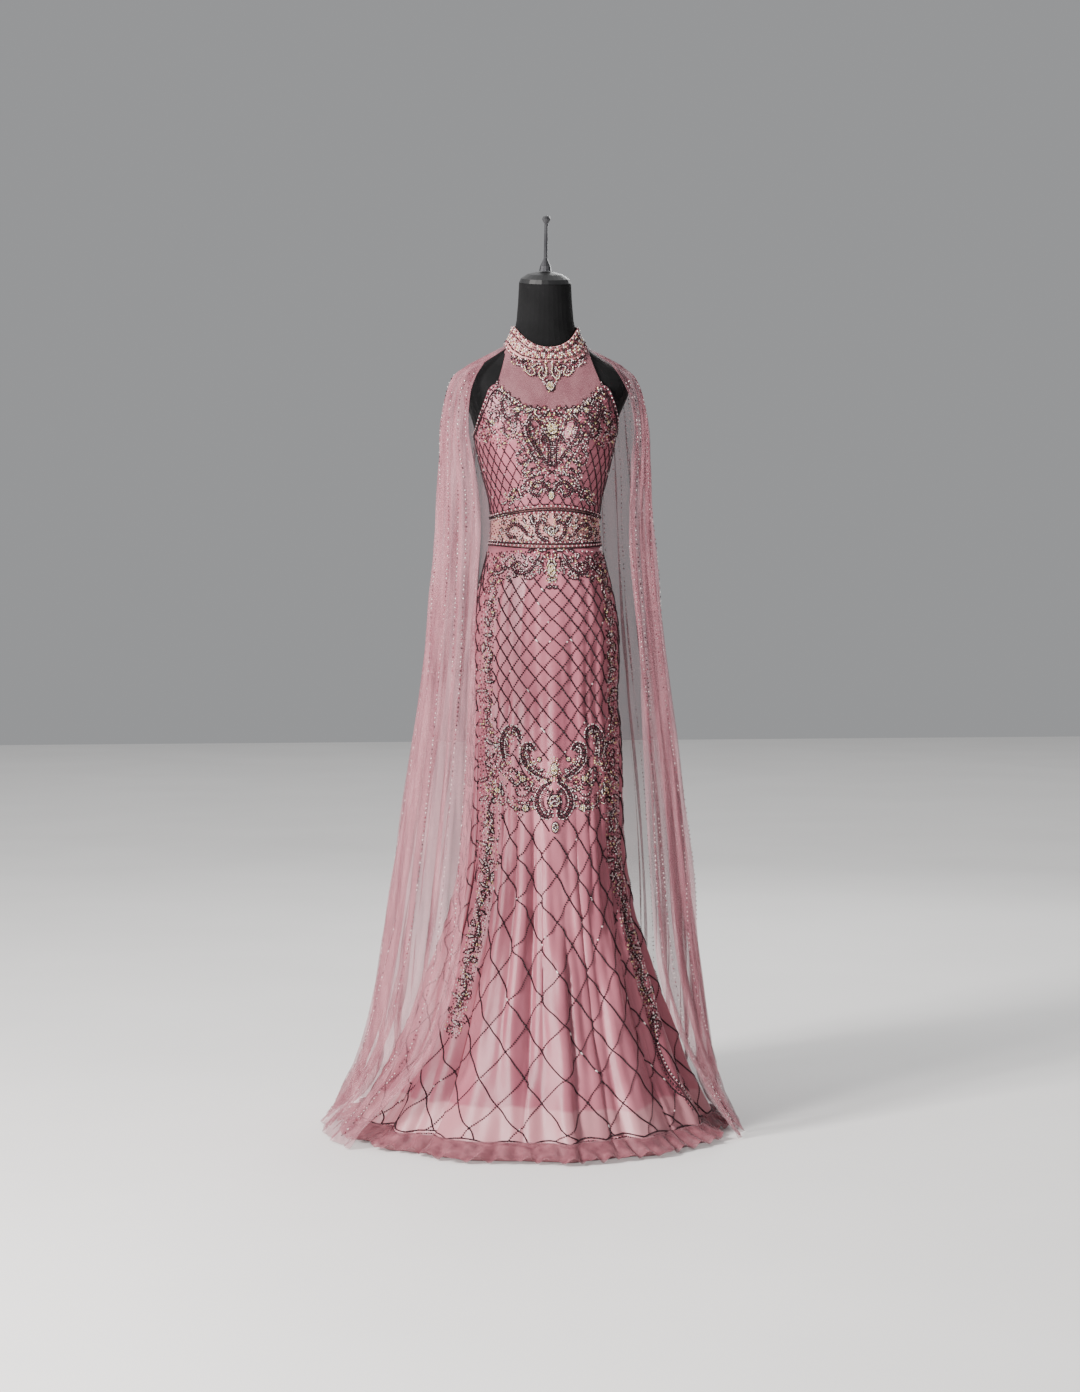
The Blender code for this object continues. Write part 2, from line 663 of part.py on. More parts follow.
def build_cape(net):
    """Three widths of sheer net, from the collar to the floor."""
    columns = 4 * CAPE_FOLD_COUNT
    levels = range(len(CAPE))
    shares = spread(-1, 1, columns)
    seam = []
    for share in shares:
        angle = math.copysign(math.pi - (math.pi - CAPE_HEAD_END) * abs(share), share)
        seam.append(lifted(figure, angle, collar_z(angle, 0) - 1.2 * SEAM, FORM_GAP + NET))
    outer = np.array([seam] + [[cape(share, level) for share in shares] for level in levels])
    inner = moved(outer, -NET)
    inner[-1, :, 2] = outer[-1, :, 2]
    third = columns // 3
    for k, name in enumerate(("cape_right", "cape_back", "cape_left")):
        part = slice(k * third, (k + 1) * third + 1)
        grids = [drawn_in(grid[:, part], SEAM / 2) for grid in (outer, inner)]
        wall(name, *grids, net)


def curve(points, count):
    """Points evenly spaced in time on a smooth curve through the given ones."""
    points = np.array(points)
    points = np.concatenate([[2 * points[0] - points[1]], points, [2 * points[-1] - points[-2]]])
    result = []
    for step in spread(0, len(points) - 3, count):
        i = min(int(step), len(points) - 4)
        t = step - i
        a, b, c, d = points[i : i + 4]
        result.append(
            b + 0.5 * t * (c - a + t * (2 * a - 5 * b + 4 * c - d + t * (3 * (b - c) + d - a)))
        )
    return result


def surface_of(grid):
    """A finder for the point of a front grid that lies at x and z, and its normal."""
    columns = grid.shape[1]
    points = [Vector(p) for p in grid.reshape(-1, 3)]
    faces = [tuple(i * columns + j for i, j in corners) for corners in halves_of(grid)]
    tree = BVHTree.FromPolygons(points, faces)

    def find(x, z):
        point, normal, _, _ = tree.ray_cast(Vector((x, -1, z)), Vector((0, 1, 0)))
        if normal.y > 0:
            normal = -normal
        return point, normal

    return find


def scroll(name, find, width, points, side, finish):
    """A raised strip with a ridge along its middle, wide in its middle and narrow at its ends."""
    spots = curve([(side * x, z) for x, z in points], 2 * len(points) - 2)
    verts = []
    for i, spot in enumerate(spots):
        ahead = spots[min(i + 1, len(spots) - 1)] - spots[max(i - 1, 0)]
        across = np.array([-ahead[1], ahead[0]]) / np.linalg.norm(ahead)
        share = i / (len(spots) - 1)
        half = width / 2 * (0.45 + 0.55 * math.sin(math.pi * share) ** 0.6)
        for offset, lift in ((-half, SCROLL_LIFT), (half, SCROLL_LIFT), (0, SCROLL_LIFT + SCROLL_HEIGHT)):
            point, normal = find(*(spot + across * offset))
            verts.append(point + normal * lift)
    faces = [(0, 1, 2), tuple(len(verts) - k for k in (1, 2, 3))]
    for i in range(len(spots) - 1):
        for a, b in ((0, 1), (1, 2), (2, 0)):
            faces.append((3 * i + a, 3 * i + b, 3 * i + 3 + b, 3 * i + 3 + a))
    return add(name, closed_mesh(name, verts, faces), finish)


def stone(name, find, z, half_width, half_height, finish):
    """A faceted oval stone on the centre line."""
    verts = []
    for size, lift in ((1.0, 0.0), (0.9, 0.5), (0.5, 1.0)):
        for k in range(8):
            turn = 2 * math.pi * k / 8
            x, rise = size * half_width * math.sin(turn), size * half_height * math.cos(turn)
            point, normal = find(x, z + rise)
            verts.append(point + normal * (SCROLL_LIFT + STONE_HEIGHT * lift))
    faces = [tuple(range(8)), tuple(range(16, 24))]
    for ring in (0, 8):
        for k in range(8):
            n = (k + 1) % 8
            faces.append((ring + k, ring + n, ring + 8 + n, ring + 8 + k))
    return add(name, closed_mesh(name, verts, faces), finish)


def build_trim(grids, beads, crystal):
    """Scrolls in mirrored pairs, and the stones between them."""
    finders = {name: surface_of(grid) for name, grid in grids.items()}
    for name, under, width, points in SCROLLS:
        for word, side in (("_left", 1), ("_right", -1)):
            scroll(name + word, finders[under], width, points, side, beads)
    for name, under, z, half_width, half_height in STONES:
        stone(name, finders[under], z, half_width, half_height, crystal)


def main():
    for obj in list(bpy.data.objects):
        bpy.data.objects.remove(obj)
    form = material("form_cloth", (0.028, 0.028, 0.030), 0.75)
    cap = material("form_cap", (0.012, 0.012, 0.013), 0.35)
    steel = material("form_steel", (0.10, 0.10, 0.11), 0.35, 1.0)
    net = material("sheer_net", (0.62, 0.36, 0.42), 0.6, alpha=0.45)
    satin = material("beaded_satin", (0.72, 0.38, 0.44), 0.35)
    band = material("beaded_band", (0.60, 0.38, 0.40), 0.3, 0.3)
    beads = material("bead_scroll", (0.30, 0.14, 0.16), 0.25, 0.4)
    crystal = material("crystal", (0.80, 0.76, 0.66), 0.1, 0.2)
    build_form(form, cap, steel)
    grids = build_bodice(net, satin, band)
    grids["skirt_front"] = build_skirt(satin, net)
    build_cape(net)
    build_trim(grids, beads, crystal)


main()
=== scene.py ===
"""Looks of the beaded halter gown with its sheer cape, on a limbless dress form.

Metres, +Z up, the gown faces -Y and the wearer's left is +X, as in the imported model. Angles round
the figure start at the centre front and grow towards the wearer's left.
"""

import math

import bpy
import numpy as np
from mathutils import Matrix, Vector


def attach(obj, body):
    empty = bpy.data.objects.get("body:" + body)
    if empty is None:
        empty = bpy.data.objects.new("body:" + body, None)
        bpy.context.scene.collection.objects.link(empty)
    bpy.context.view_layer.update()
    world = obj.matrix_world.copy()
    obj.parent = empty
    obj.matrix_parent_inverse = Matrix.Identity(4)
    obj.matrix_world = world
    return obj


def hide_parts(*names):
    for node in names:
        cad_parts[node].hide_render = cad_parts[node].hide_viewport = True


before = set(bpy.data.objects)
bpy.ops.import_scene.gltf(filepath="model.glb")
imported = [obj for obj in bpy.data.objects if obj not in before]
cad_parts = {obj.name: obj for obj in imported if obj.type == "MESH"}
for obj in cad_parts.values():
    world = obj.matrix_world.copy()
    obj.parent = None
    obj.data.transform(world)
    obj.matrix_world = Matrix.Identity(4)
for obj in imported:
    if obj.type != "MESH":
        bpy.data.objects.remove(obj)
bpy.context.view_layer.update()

# Clearances and cloth thicknesses of the solids
SEAM = 0.0003
FORM_GAP = 0.0020
NET = 0.0010
SATIN = 0.0016
BAND = 0.0024
HIP_EASE = 0.0036

# Heights of the gown's lines above the floor
HIP = 0.83
BELT_FOOT = (1.122, 1.130)
BELT_HEAD = (1.209, 1.190)
BACK_TOP = (1.350, 1.300)
COLLAR_FOOT = (1.480, 1.514, 1.526)
COLLAR_HEAD = (1.511, 1.553, 1.566)

SWEETHEART_END = math.radians(31.6)
YOKE_HEAD_END = math.radians(60)
CAPE_HEAD_END = math.radians(65)

# Columns: height, half width, front depth, back depth, squareness
FIGURE = [
    (0.790, 0.1280, 0.100, 0.108, 2.20),
    (0.830, 0.1345, 0.103, 0.114, 2.20),
    (0.900, 0.1385, 0.105, 0.119, 2.20),
    (0.960, 0.1375, 0.105, 0.117, 2.20),
    (1.020, 0.1300, 0.102, 0.107, 2.20),
    (1.080, 0.1160, 0.093, 0.092, 2.20),
    (1.130, 0.1045, 0.085, 0.081, 2.20),
    (1.170, 0.1010, 0.083, 0.078, 2.20),
    (1.215, 0.1050, 0.087, 0.083, 2.20),
    (1.265, 0.1170, 0.095, 0.093, 2.30),
    (1.310, 0.1275, 0.101, 0.101, 2.35),
    (1.350, 0.1350, 0.102, 0.106, 2.40),
    (1.385, 0.1460, 0.095, 0.107, 2.50),
    (1.415, 0.1600, 0.083, 0.103, 2.60),
    (1.437, 0.1680, 0.071, 0.094, 2.70),
    (1.452, 0.1660, 0.062, 0.086, 2.70),
    (1.468, 0.1470, 0.056, 0.080, 2.50),
    (1.485, 0.1180, 0.052, 0.075, 2.30),
    (1.502, 0.0920, 0.051, 0.070, 2.15),
    (1.518, 0.0740, 0.052, 0.065, 2.05),
    (1.540, 0.0620, 0.052, 0.060, 2.00),
    (1.565, 0.0565, 0.051, 0.056, 2.00),
    (1.600, 0.0535, 0.051, 0.053, 2.00),
    (1.637, 0.0515, 0.050, 0.051, 2.00),
]

# Below the hips the skirt hangs free. Columns as above
SKIRT_HANG = [
    (0.000, 0.3720, 0.360, 0.392, 2.00),
    (0.020, 0.3580, 0.348, 0.377, 2.00),
    (0.060, 0.3330, 0.322, 0.350, 2.00),
    (0.120, 0.2980, 0.288, 0.314, 2.00),
    (0.200, 0.2620, 0.251, 0.274, 2.02),
    (0.280, 0.2300, 0.219, 0.238, 2.05),
    (0.360, 0.1990, 0.191, 0.206, 2.08),
    (0.440, 0.1740, 0.168, 0.180, 2.10),
    (0.520, 0.1580, 0.151, 0.160, 2.12),
    (0.600, 0.1490, 0.139, 0.147, 2.15),
    (0.700, 0.1450, 0.128, 0.136, 2.20),
    (0.780, 0.1420, 0.118, 0.129, 2.20),
]
SKIRT = SKIRT_HANG + [row for row in FIGURE if HIP <= row[0] < BELT_HEAD[1]]

# How deep the skirt's folds are. Columns: height, main folds, small folds
SKIRT_FOLDS = [
    (0.000, 0.020, 0.0050),
    (0.120, 0.022, 0.0062),
    (0.280, 0.017, 0.0056),
    (0.440, 0.010, 0.0042),
    (0.600, 0.005, 0.0024),
    (0.760, 0.002, 0.0012),
    (0.860, 0.000, 0.0006),
    (1.000, 0.000, 0.0002),
    (1.200, 0.000, 0.0000),
]
SKIRT_FOLD_COUNT = 14

# The hem lies wider on the wearer's right. Columns: height, share on the left, share on the right
SIDE_SHARES = [
    (0.000, 0.900, 1.030),
    (0.100, 0.905, 1.015),
    (0.300, 0.925, 1.000),
    (0.500, 0.960, 1.005),
    (0.800, 1.000, 1.010),
    (1.100, 1.000, 1.015),
    (1.460, 1.000, 1.010),
    (1.500, 1.000, 1.000),
]

# Top edge of the front bodice. Columns: angle from the centre front in degrees, height
BODICE_TOP = [
    (0.0, 1.390),
    (6.0, 1.384),
    (14.0, 1.388),
    (22.0, 1.408),
    (28.0, 1.428),
    (31.6, 1.436),
    (38.0, 1.428),
    (46.0, 1.410),
    (60.0, 1.385),
    (78.0, 1.358),
    (90.0, 1.350),
]

# Side edge of the net yoke. Columns: share of the way up, half width
YOKE_EDGE = [
    (0.00, 0.1000),
    (0.25, 0.0945),
    (0.50, 0.0885),
    (0.75, 0.0830),
    (1.00, 0.0780),
]

# The cape below its seam at the collar, one row for each level down. Columns: height at the side, half
# width, height at the back, back depth, height at the front edge, its x, its y, fold depth
CAPE = [
    (1.4760, 0.1500, 1.483, 0.0900, 1.4800, 0.1220, -0.046, 0.0025),
    (1.4560, 0.1755, 1.458, 0.1040, 1.4500, 0.1400, -0.058, 0.0030),
    (1.4230, 0.1880, 1.423, 0.1180, 1.4120, 0.1520, -0.080, 0.0045),
    (1.3600, 0.1970, 1.362, 0.1300, 1.3500, 0.1560, -0.113, 0.0070),
    (1.2780, 0.2010, 1.280, 0.1390, 1.2750, 0.1480, -0.132, 0.0095),
    (1.1600, 0.2070, 1.160, 0.1510, 1.1600, 0.1400, -0.144, 0.0125),
    (1.0000, 0.2200, 1.000, 0.1700, 1.0000, 0.1480, -0.174, 0.0150),
    (0.8300, 0.2400, 0.830, 0.1960, 0.8300, 0.1580, -0.208, 0.0175),
    (0.5400, 0.2850, 0.540, 0.2580, 0.5400, 0.1740, -0.236, 0.0215),
    (0.3600, 0.3140, 0.360, 0.3080, 0.3600, 0.1930, -0.258, 0.0240),
    (0.2000, 0.3430, 0.200, 0.3560, 0.2000, 0.2450, -0.270, 0.0250),
    (0.1000, 0.3700, 0.100, 0.3960, 0.1000, 0.3120, -0.236, 0.0240),
    (0.0350, 0.4000, 0.035, 0.4300, 0.0350, 0.3600, -0.205, 0.0180),
    (0.0018, 0.4220, 0.0018, 0.4560, 0.0018, 0.3850, -0.200, 0.0080),
]
CAPE_FOLD_COUNT = 21
CAPE_SQUARENESS = 2.25
CAPE_CLEAR = 0.0045
SHOULDER_FOOT = 1.30

# Bust cups: how far they stand out, and where
CUP_DEPTH = 0.021
CUP_X = 0.060
CUP_Z = 1.338
CUP_WIDTH = 0.036
CUP_HEIGHT = 0.046

# Tulle edge under the hem
FLOUNCE_TOP = 0.030
FLOUNCE_CLEAR = 0.0030
FLOUNCE_REACH = (0.036, 0.020)

rng = np.random.default_rng(11)


def smooth(table, key, column):
    """A column of a table at each key, on a smooth curve that never overshoots its rows."""
    rows = np.array(table, float)
    keys, values = rows[:, 0], rows[:, column]
    steps = np.diff(values) / np.diff(keys)
    before, after = steps[:-1], steps[1:]
    same = before * after > 0
    inner = np.where(same, 2 * before * after / np.where(same, before + after, 1), 0)
    slopes = np.concatenate([steps[:1], inner, steps[-1:]])
    key = np.clip(key, keys[0], keys[-1])
    i = np.clip(np.searchsorted(keys, key) - 1, 0, len(keys) - 2)
    width = keys[i + 1] - keys[i]
    t = (key - keys[i]) / width
    return (
        (2 * t**3 - 3 * t**2 + 1) * values[i]
        + (t**3 - 2 * t**2 + t) * width * slopes[i]
        + (3 * t**2 - 2 * t**3) * values[i + 1]
        + (t**3 - t**2) * width * slopes[i + 1]
    )


def ease(t):
    t = np.clip(t, 0, 1)
    return t * t * (3 - 2 * t)


def power(value, exponent):
    return np.sign(value) * np.abs(value) ** exponent


def oval(angle, half_width, front, back, squareness):
    depth = np.where(np.cos(angle) > 0, front, back)
    x = half_width * power(np.sin(angle), 2 / squareness)
    return x, -depth * power(np.cos(angle), 2 / squareness)


def figure(angle, z):
    """The dress form's surface, as an array of points."""
    angle, z = np.broadcast_arrays(angle, z)
    x, y = oval(angle, *(smooth(FIGURE, z, k) for k in (1, 2, 3, 4)))
    cups = sum(np.exp(-(((x - side * CUP_X) / CUP_WIDTH) ** 2)) for side in (-1, 1))
    rise = CUP_DEPTH * cups * np.exp(-(((z - CUP_Z) / CUP_HEIGHT) ** 2))
    return np.stack([x, y - rise * ease(-y / 0.06), z], axis=-1)


def lifted(angle, z, lift):
    """The figure's points moved out along its normal."""
    step = 1e-4
    along = figure(angle + step, z) - figure(angle - step, z)
    normal = np.cross(along, figure(angle, z + step) - figure(angle, z - step))
    lift = np.broadcast_to(lift, normal.shape[:-1])[..., None]
    return figure(angle, z) + lift * normal / np.linalg.norm(normal, axis=-1, keepdims=True)


def around(front, side, back, angle):
    """A height that runs smoothly from the centre front by the side to the centre back."""
    share = np.abs(angle) / (math.pi / 2)
    first = front + (side - front) * ease(share)
    return np.where(share < 1, first, side + (back - side) * ease(share - 1))


def to_side(x, z):
    """A width at a height, drawn in or out for its side."""
    return x * np.where(x > 0, smooth(SIDE_SHARES, z, 1), smooth(SIDE_SHARES, z, 2))


def skirt_angle(turn):
    return 2 * math.pi * turn + 0.07 * np.sin(4 * math.pi * turn)


def skirt(turn, z):
    """The skirt's surface with its main folds and, below the hips, uneven small ones."""
    turn, z = np.broadcast_arrays(turn, z)
    angle = skirt_angle(turn)
    x, y = oval(angle, *(smooth(SKIRT, z, k) for k in (1, 2, 3, 4)))
    fold = SKIRT_FOLD_COUNT * turn
    weight = 0.72 + 0.28 * np.sin(2.6 * np.floor(fold + 0.5))
    main = weight * (0.5 - 0.5 * np.cos(2 * math.pi * fold))
    lean = 0.5 * np.sin(5.3 * z + 9 * turn)
    small = 0.55 * np.cos(37 * angle + 2.2 * lean) + 0.3 * np.cos(61 * angle - 3 * lean)
    small = small + 0.35 * np.cos(23 * angle + 4 * lean)
    patch = 0.65 + 0.35 * np.sin(5 * angle + 7 * z)
    depth = smooth(SKIRT_FOLDS, z, 1) * main - smooth(SKIRT_FOLDS, z, 2) * patch * small
    shrink = 1 - depth / np.hypot(x, y)
    x = np.where(z < HIP, to_side(x * shrink, z), x * shrink)
    return np.stack([x, y * shrink, z], axis=-1)


def clear_of_figure(x, y, z, gap):
    """Points moved straight out from the pole until they are clear of the dress form."""
    half_width, front, back, squareness = (smooth(FIGURE, z, k) for k in (1, 2, 3, 4))
    depth = np.where(y < 0, front, back)
    size = (np.abs(x) / half_width) ** squareness + (np.abs(y) / depth) ** squareness
    size = size ** (1 / squareness)
    least = 1 + gap / np.maximum(np.hypot(x, y) / size, 0.02)
    grow = np.where(z < SHOULDER_FOOT, 1, np.maximum(1, least / size))
    return x * grow, y * grow


def cape(share, level):
    """The cape at a share from the right front edge, -1, round the back to the left one, 1."""
    share, level = np.broadcast_arrays(share, level)
    columns = [(float(i), *row) for i, row in enumerate(CAPE)]
    values = [smooth(columns, level, k) for k in range(1, 9)]
    side_z, half_width, back_z, back, edge_z, edge_x, edge_y, fold = values
    edge = np.arcsin((edge_x / half_width) ** (CAPE_SQUARENESS / 2))
    front = -edge_y / np.cos(edge) ** (2 / CAPE_SQUARENESS)
    angle = math.pi - (math.pi - edge) * np.abs(share)
    x, y = oval(angle, half_width, front, back, CAPE_SQUARENESS)
    forward = edge_z + (side_z - edge_z) * ease((angle - edge) / (math.pi / 2 - edge))
    rear = side_z + (back_z - side_z) * ease(angle / (math.pi / 2) - 1)
    z = np.where(angle < math.pi / 2, forward, rear)
    wave = CAPE_FOLD_COUNT * (share + 1) / 2
    weight = 0.75 + 0.25 * np.sin(2.3 * np.floor(wave + 0.5))
    main = weight * (0.5 - 0.5 * np.cos(2 * math.pi * wave))
    lean = 0.35 * np.sin(1.1 * level + 5 * share)
    small = 0.20 * np.cos(2 * math.pi * (2.37 * wave + lean)) + 0.10 * np.cos(2 * math.pi * (4.1 * wave - lean))
    small = small * ease(level / 4)
    shrink = 1 - fold * (main + small) / np.hypot(x, y)
    x = to_side(np.where(share < 0, -x, x) * shrink, z)
    x, y = clear_of_figure(x, y * shrink, z, CAPE_CLEAR)
    return np.stack([x, y, z], axis=-1)


def collar_z(angle, share):
    foot, head = around(*COLLAR_FOOT, angle), around(*COLLAR_HEAD, angle)
    return foot + (head - foot) * share


def belt_z(angle, share):
    foot = around(BELT_FOOT[0], BELT_FOOT[1], BELT_FOOT[1], angle)
    head = around(BELT_HEAD[0], BELT_HEAD[1], BELT_HEAD[1], angle)
    return foot + (head - foot) * share


def front_top_z(angle):
    return smooth(BODICE_TOP, np.degrees(np.abs(angle)), 1)


def moved(grid, distance, ring=False):
    """A grid's points moved out along its normals. On a ring the last column repeats the first."""
    return grid + distance * normals_of(grid, ring)


def normals_of(grid, ring=False):
    if ring:
        wide = np.concatenate([grid[:, -2:-1], grid, grid[:, 1:2]], axis=1)
        along = wide[:, 2:] - wide[:, :-2]
    else:
        along = np.gradient(grid, axis=1)
    normal = np.cross(along, np.gradient(grid, axis=0))
    return normal / np.maximum(np.linalg.norm(normal, axis=2, keepdims=True), 1e-12)


# Materials


def nodes_of(name):
    material = bpy.data.materials.new(name)
    material.use_nodes = True
    tree = material.node_tree
    return material, tree, tree.nodes["Principled BSDF"]


def noise(tree, scale, detail=3.0, stretch=(1, 1, 1)):
    """Noise in object space, drawn out along the axes."""
    place = tree.nodes.new("ShaderNodeTexCoord")
    mapping = tree.nodes.new("ShaderNodeMapping")
    mapping.inputs["Scale"].default_value = stretch
    texture = tree.nodes.new("ShaderNodeTexNoise")
    texture.inputs["Scale"].default_value = scale
    texture.inputs["Detail"].default_value = detail
    tree.links.new(place.outputs["Object"], mapping.inputs["Vector"])
    tree.links.new(mapping.outputs["Vector"], texture.inputs["Vector"])
    return texture.outputs["Fac"]


def ramp(tree, value, stops):
    node = tree.nodes.new("ShaderNodeValToRGB")
    elements = node.color_ramp.elements
    while len(elements) < len(stops):
        elements.new(0.5)
    for element, (position, colour) in zip(elements, stops):
        element.position = position
        element.color = (*colour, 1)
    tree.links.new(value, node.inputs["Fac"])
    return node.outputs["Color"]


def weave(tree, shader, pitch, strength, colour_socket=None):
    """Fine crossed threads as bump."""
    place = tree.nodes.new("ShaderNodeTexCoord")
    waves = []
    for direction in ("X", "Z"):
        wave = tree.nodes.new("ShaderNodeTexWave")
        wave.bands_direction = direction
        wave.inputs["Scale"].default_value = 1 / pitch / 2
        wave.inputs["Distortion"].default_value = 0.6
        tree.links.new(place.outputs["Object"], wave.inputs["Vector"])
        waves.append(wave.outputs["Fac"])
    mix = tree.nodes.new("ShaderNodeMath")
    mix.operation = "MULTIPLY"
    tree.links.new(waves[0], mix.inputs[0])
    tree.links.new(waves[1], mix.inputs[1])
    bump = tree.nodes.new("ShaderNodeBump")
    bump.inputs["Strength"].default_value = strength
    bump.inputs["Distance"].default_value = 0.0004
    tree.links.new(mix.outputs["Value"], bump.inputs["Height"])
    tree.links.new(bump.outputs["Normal"], shader.inputs["Normal"])


def satin_material(name, dark, light, roughness, bright_below=None):
    """Satin with cloudy tone, which is partly uneven colour and partly painted highlight and shade of its soft
    creases. Under a height it is brighter, where no net lies over it.
    """
    material, tree, shader = nodes_of(name)
    # Tall noise patches vary the colour and also paint blotchy highlight and shade like that of creased satin
    cloud = noise(tree, 9.0, 4.0, (1.0, 1.0, 0.35))
    colour = ramp(tree, cloud, [(0.30, dark), (0.70, light)])
    if bright_below:
        pale = ramp(tree, cloud, [(0.30, (0.33, 0.12, 0.145)), (0.70, (0.47, 0.21, 0.235))])
        place = tree.nodes.new("ShaderNodeTexCoord")
        axes = tree.nodes.new("ShaderNodeSeparateXYZ")
        above = tree.nodes.new("ShaderNodeMapRange")
        above.inputs["From Min"].default_value = bright_below + 0.0175
        above.inputs["From Max"].default_value = bright_below + 0.0225
        uneven = tree.nodes.new("ShaderNodeMath")
        uneven.operation = "MULTIPLY_ADD"
        uneven.inputs[1].default_value = 0.045
        mix = tree.nodes.new("ShaderNodeMix")
        mix.data_type = "RGBA"
        tree.links.new(place.outputs["Object"], axes.inputs["Vector"])
        tree.links.new(cloud, uneven.inputs[0])
        tree.links.new(axes.outputs["Z"], uneven.inputs[2])
        tree.links.new(uneven.outputs["Value"], above.inputs["Value"])
        tree.links.new(above.outputs["Result"], mix.inputs["Factor"])
        tree.links.new(pale, mix.inputs["A"])
        tree.links.new(colour, mix.inputs["B"])
        colour = mix.outputs["Result"]
    tree.links.new(colour, shader.inputs["Base Color"])
    shader.inputs["Roughness"].default_value = roughness
    shader.inputs["Sheen Weight"].default_value = 0.14
    shader.inputs["Sheen Roughness"].default_value = 0.35
    shader.inputs["Sheen Tint"].default_value = (1.0, 0.70, 0.74, 1)
    shader.inputs["Specular IOR Level"].default_value = 0.45
    weave(tree, shader, 0.0007, 0.25)
    return material


def net_material(name, dark, light, alpha):
    material, tree, shader = nodes_of(name)
    streak = noise(tree, 60.0, 3.0, (1.0, 1.0, 0.03))
    colour = ramp(tree, streak, [(0.30, dark), (0.70, light)])
    tree.links.new(colour, shader.inputs["Base Color"])
    shader.inputs["Roughness"].default_value = 0.50
    shader.inputs["Sheen Weight"].default_value = 0.30
    shader.inputs["Sheen Roughness"].default_value = 0.3
    shader.inputs["Sheen Tint"].default_value = (1.0, 0.76, 0.80, 1)
    shader.inputs["Alpha"].default_value = alpha
    weave(tree, shader, 0.0011, 0.5)
    return material


def bead_material(name, colour, roughness, metallic, coat=0.0, specular=0.5):
    material, tree, shader = nodes_of(name)
    speck = noise(tree, 420.0, 1.0)
    dark = tuple(0.62 * c for c in colour)
    tree.links.new(ramp(tree, speck, [(0.35, dark), (0.65, colour)]), shader.inputs["Base Color"])
    shader.inputs["Roughness"].default_value = roughness
    shader.inputs["Metallic"].default_value = metallic
    shader.inputs["Coat Weight"].default_value = coat
    shader.inputs["Specular IOR Level"].default_value = specular
    return material


def form_material(name, dark, light, roughness, pitch):
    material, tree, shader = nodes_of(name)
    cloud = noise(tree, 30.0, 4.0)
    tree.links.new(ramp(tree, cloud, [(0.3, dark), (0.7, light)]), shader.inputs["Base Color"])
    shader.inputs["Roughness"].default_value = roughness
    if pitch:
        shader.inputs["Sheen Weight"].default_value = 0.02
        shader.inputs["Specular IOR Level"].default_value = 0.15
        weave(tree, shader, pitch, 0.4)
    return material


SATIN_PINK = satin_material("satin_pink", (0.215, 0.054, 0.078), (0.400, 0.132, 0.168), 0.34, 0.088)
BAND_PINK = satin_material("band_pink", (0.400, 0.155, 0.155), (0.560, 0.265, 0.250), 0.38)
NET_MAUVE = net_material("net_mauve", (0.270, 0.085, 0.115), (0.540, 0.235, 0.275), 0.26)
NET_YOKE = net_material("net_yoke", (0.290, 0.105, 0.130), (0.380, 0.160, 0.185), 0.42)
# Painted shade: the hem flounce's net is given darker colours than the cape's net, for the shade under the hem
NET_HEM_PAINTED_SHADE = net_material("net_hem_painted_shade", (0.150, 0.040, 0.056), (0.360, 0.125, 0.152), 0.50)
BEAD_DARK = bead_material("bead_burgundy", (0.022, 0.003, 0.007), 0.34, 0.0, 0.0, 0.35)
BEAD_ROSE = bead_material("bead_rose", (0.26, 0.055, 0.085), 0.26, 0.1, 0.2)
BEAD_SILVER = bead_material("bead_silver", (0.84, 0.74, 0.72), 0.20, 0.2, 0.4)
BEAD_GOLD = bead_material("bead_champagne", (0.84, 0.68, 0.34), 0.20, 0.25, 0.4)
FORM_CLOTH = form_material("form_cloth_black", (0.0025, 0.0025, 0.0028), (0.0055, 0.0055, 0.0060), 0.85, 0.0009)
FORM_CAP = form_material("form_cap_black", (0.003, 0.003, 0.0035), (0.007, 0.007, 0.0075), 0.42, 0)
FORM_STEEL = form_material("form_steel_black", (0.045, 0.045, 0.050), (0.075, 0.075, 0.080), 0.35, 0)
FORM_STEEL.node_tree.nodes["Principled BSDF"].inputs["Metallic"].default_value = 0.8


# Cloth shells


def shell(name, grid, thickness, material, slot, *nodes):
    """A thin cloth shell under a grid of outer points, in place of a solid."""
    rows, columns = grid.shape[:2]
    corner = (np.arange(rows - 1)[:, None] * columns + np.arange(columns - 1)).ravel()
    faces = np.stack([corner, corner + 1, corner + columns + 1, corner + columns], axis=1)
    mesh = bpy.data.meshes.new(name)
    mesh.from_pydata(grid.reshape(-1, 3).tolist(), [], faces.tolist())
    mesh.materials.append(material)
    mesh.shade_smooth()
    obj = bpy.data.objects.new(name, mesh)
    bpy.context.scene.collection.objects.link(obj)
    solidify = obj.modifiers.new("cloth thickness", "SOLIDIFY")
    solidify.thickness = thickness
    solidify.offset = -1
    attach(obj, "root")
    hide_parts(*nodes)
    return obj


def halves(count):
    middle = (count - 1) // 2
    return slice(0, middle + 1), slice(middle, None)


SKIRT_COLUMNS = 504
SKIRT_TURNS = np.linspace(-0.25, 0.75, SKIRT_COLUMNS + 1)
SKIRT_ROWS = np.concatenate([np.linspace(0.0008, 0.60, 52), np.linspace(0.60, 1.0, 20)[1:]])

# How far soft creases stand out of the skirt. Columns: height, creases
SKIRT_CREASES = [
    (0.000, 0.0020),
    (0.050, 0.0062),
    (0.350, 0.0064),
    (0.560, 0.0044),
    (0.660, 0.0032),
    (0.980, 0.0026),
    (1.080, 0.0008),
    (1.110, 0.0000),
]


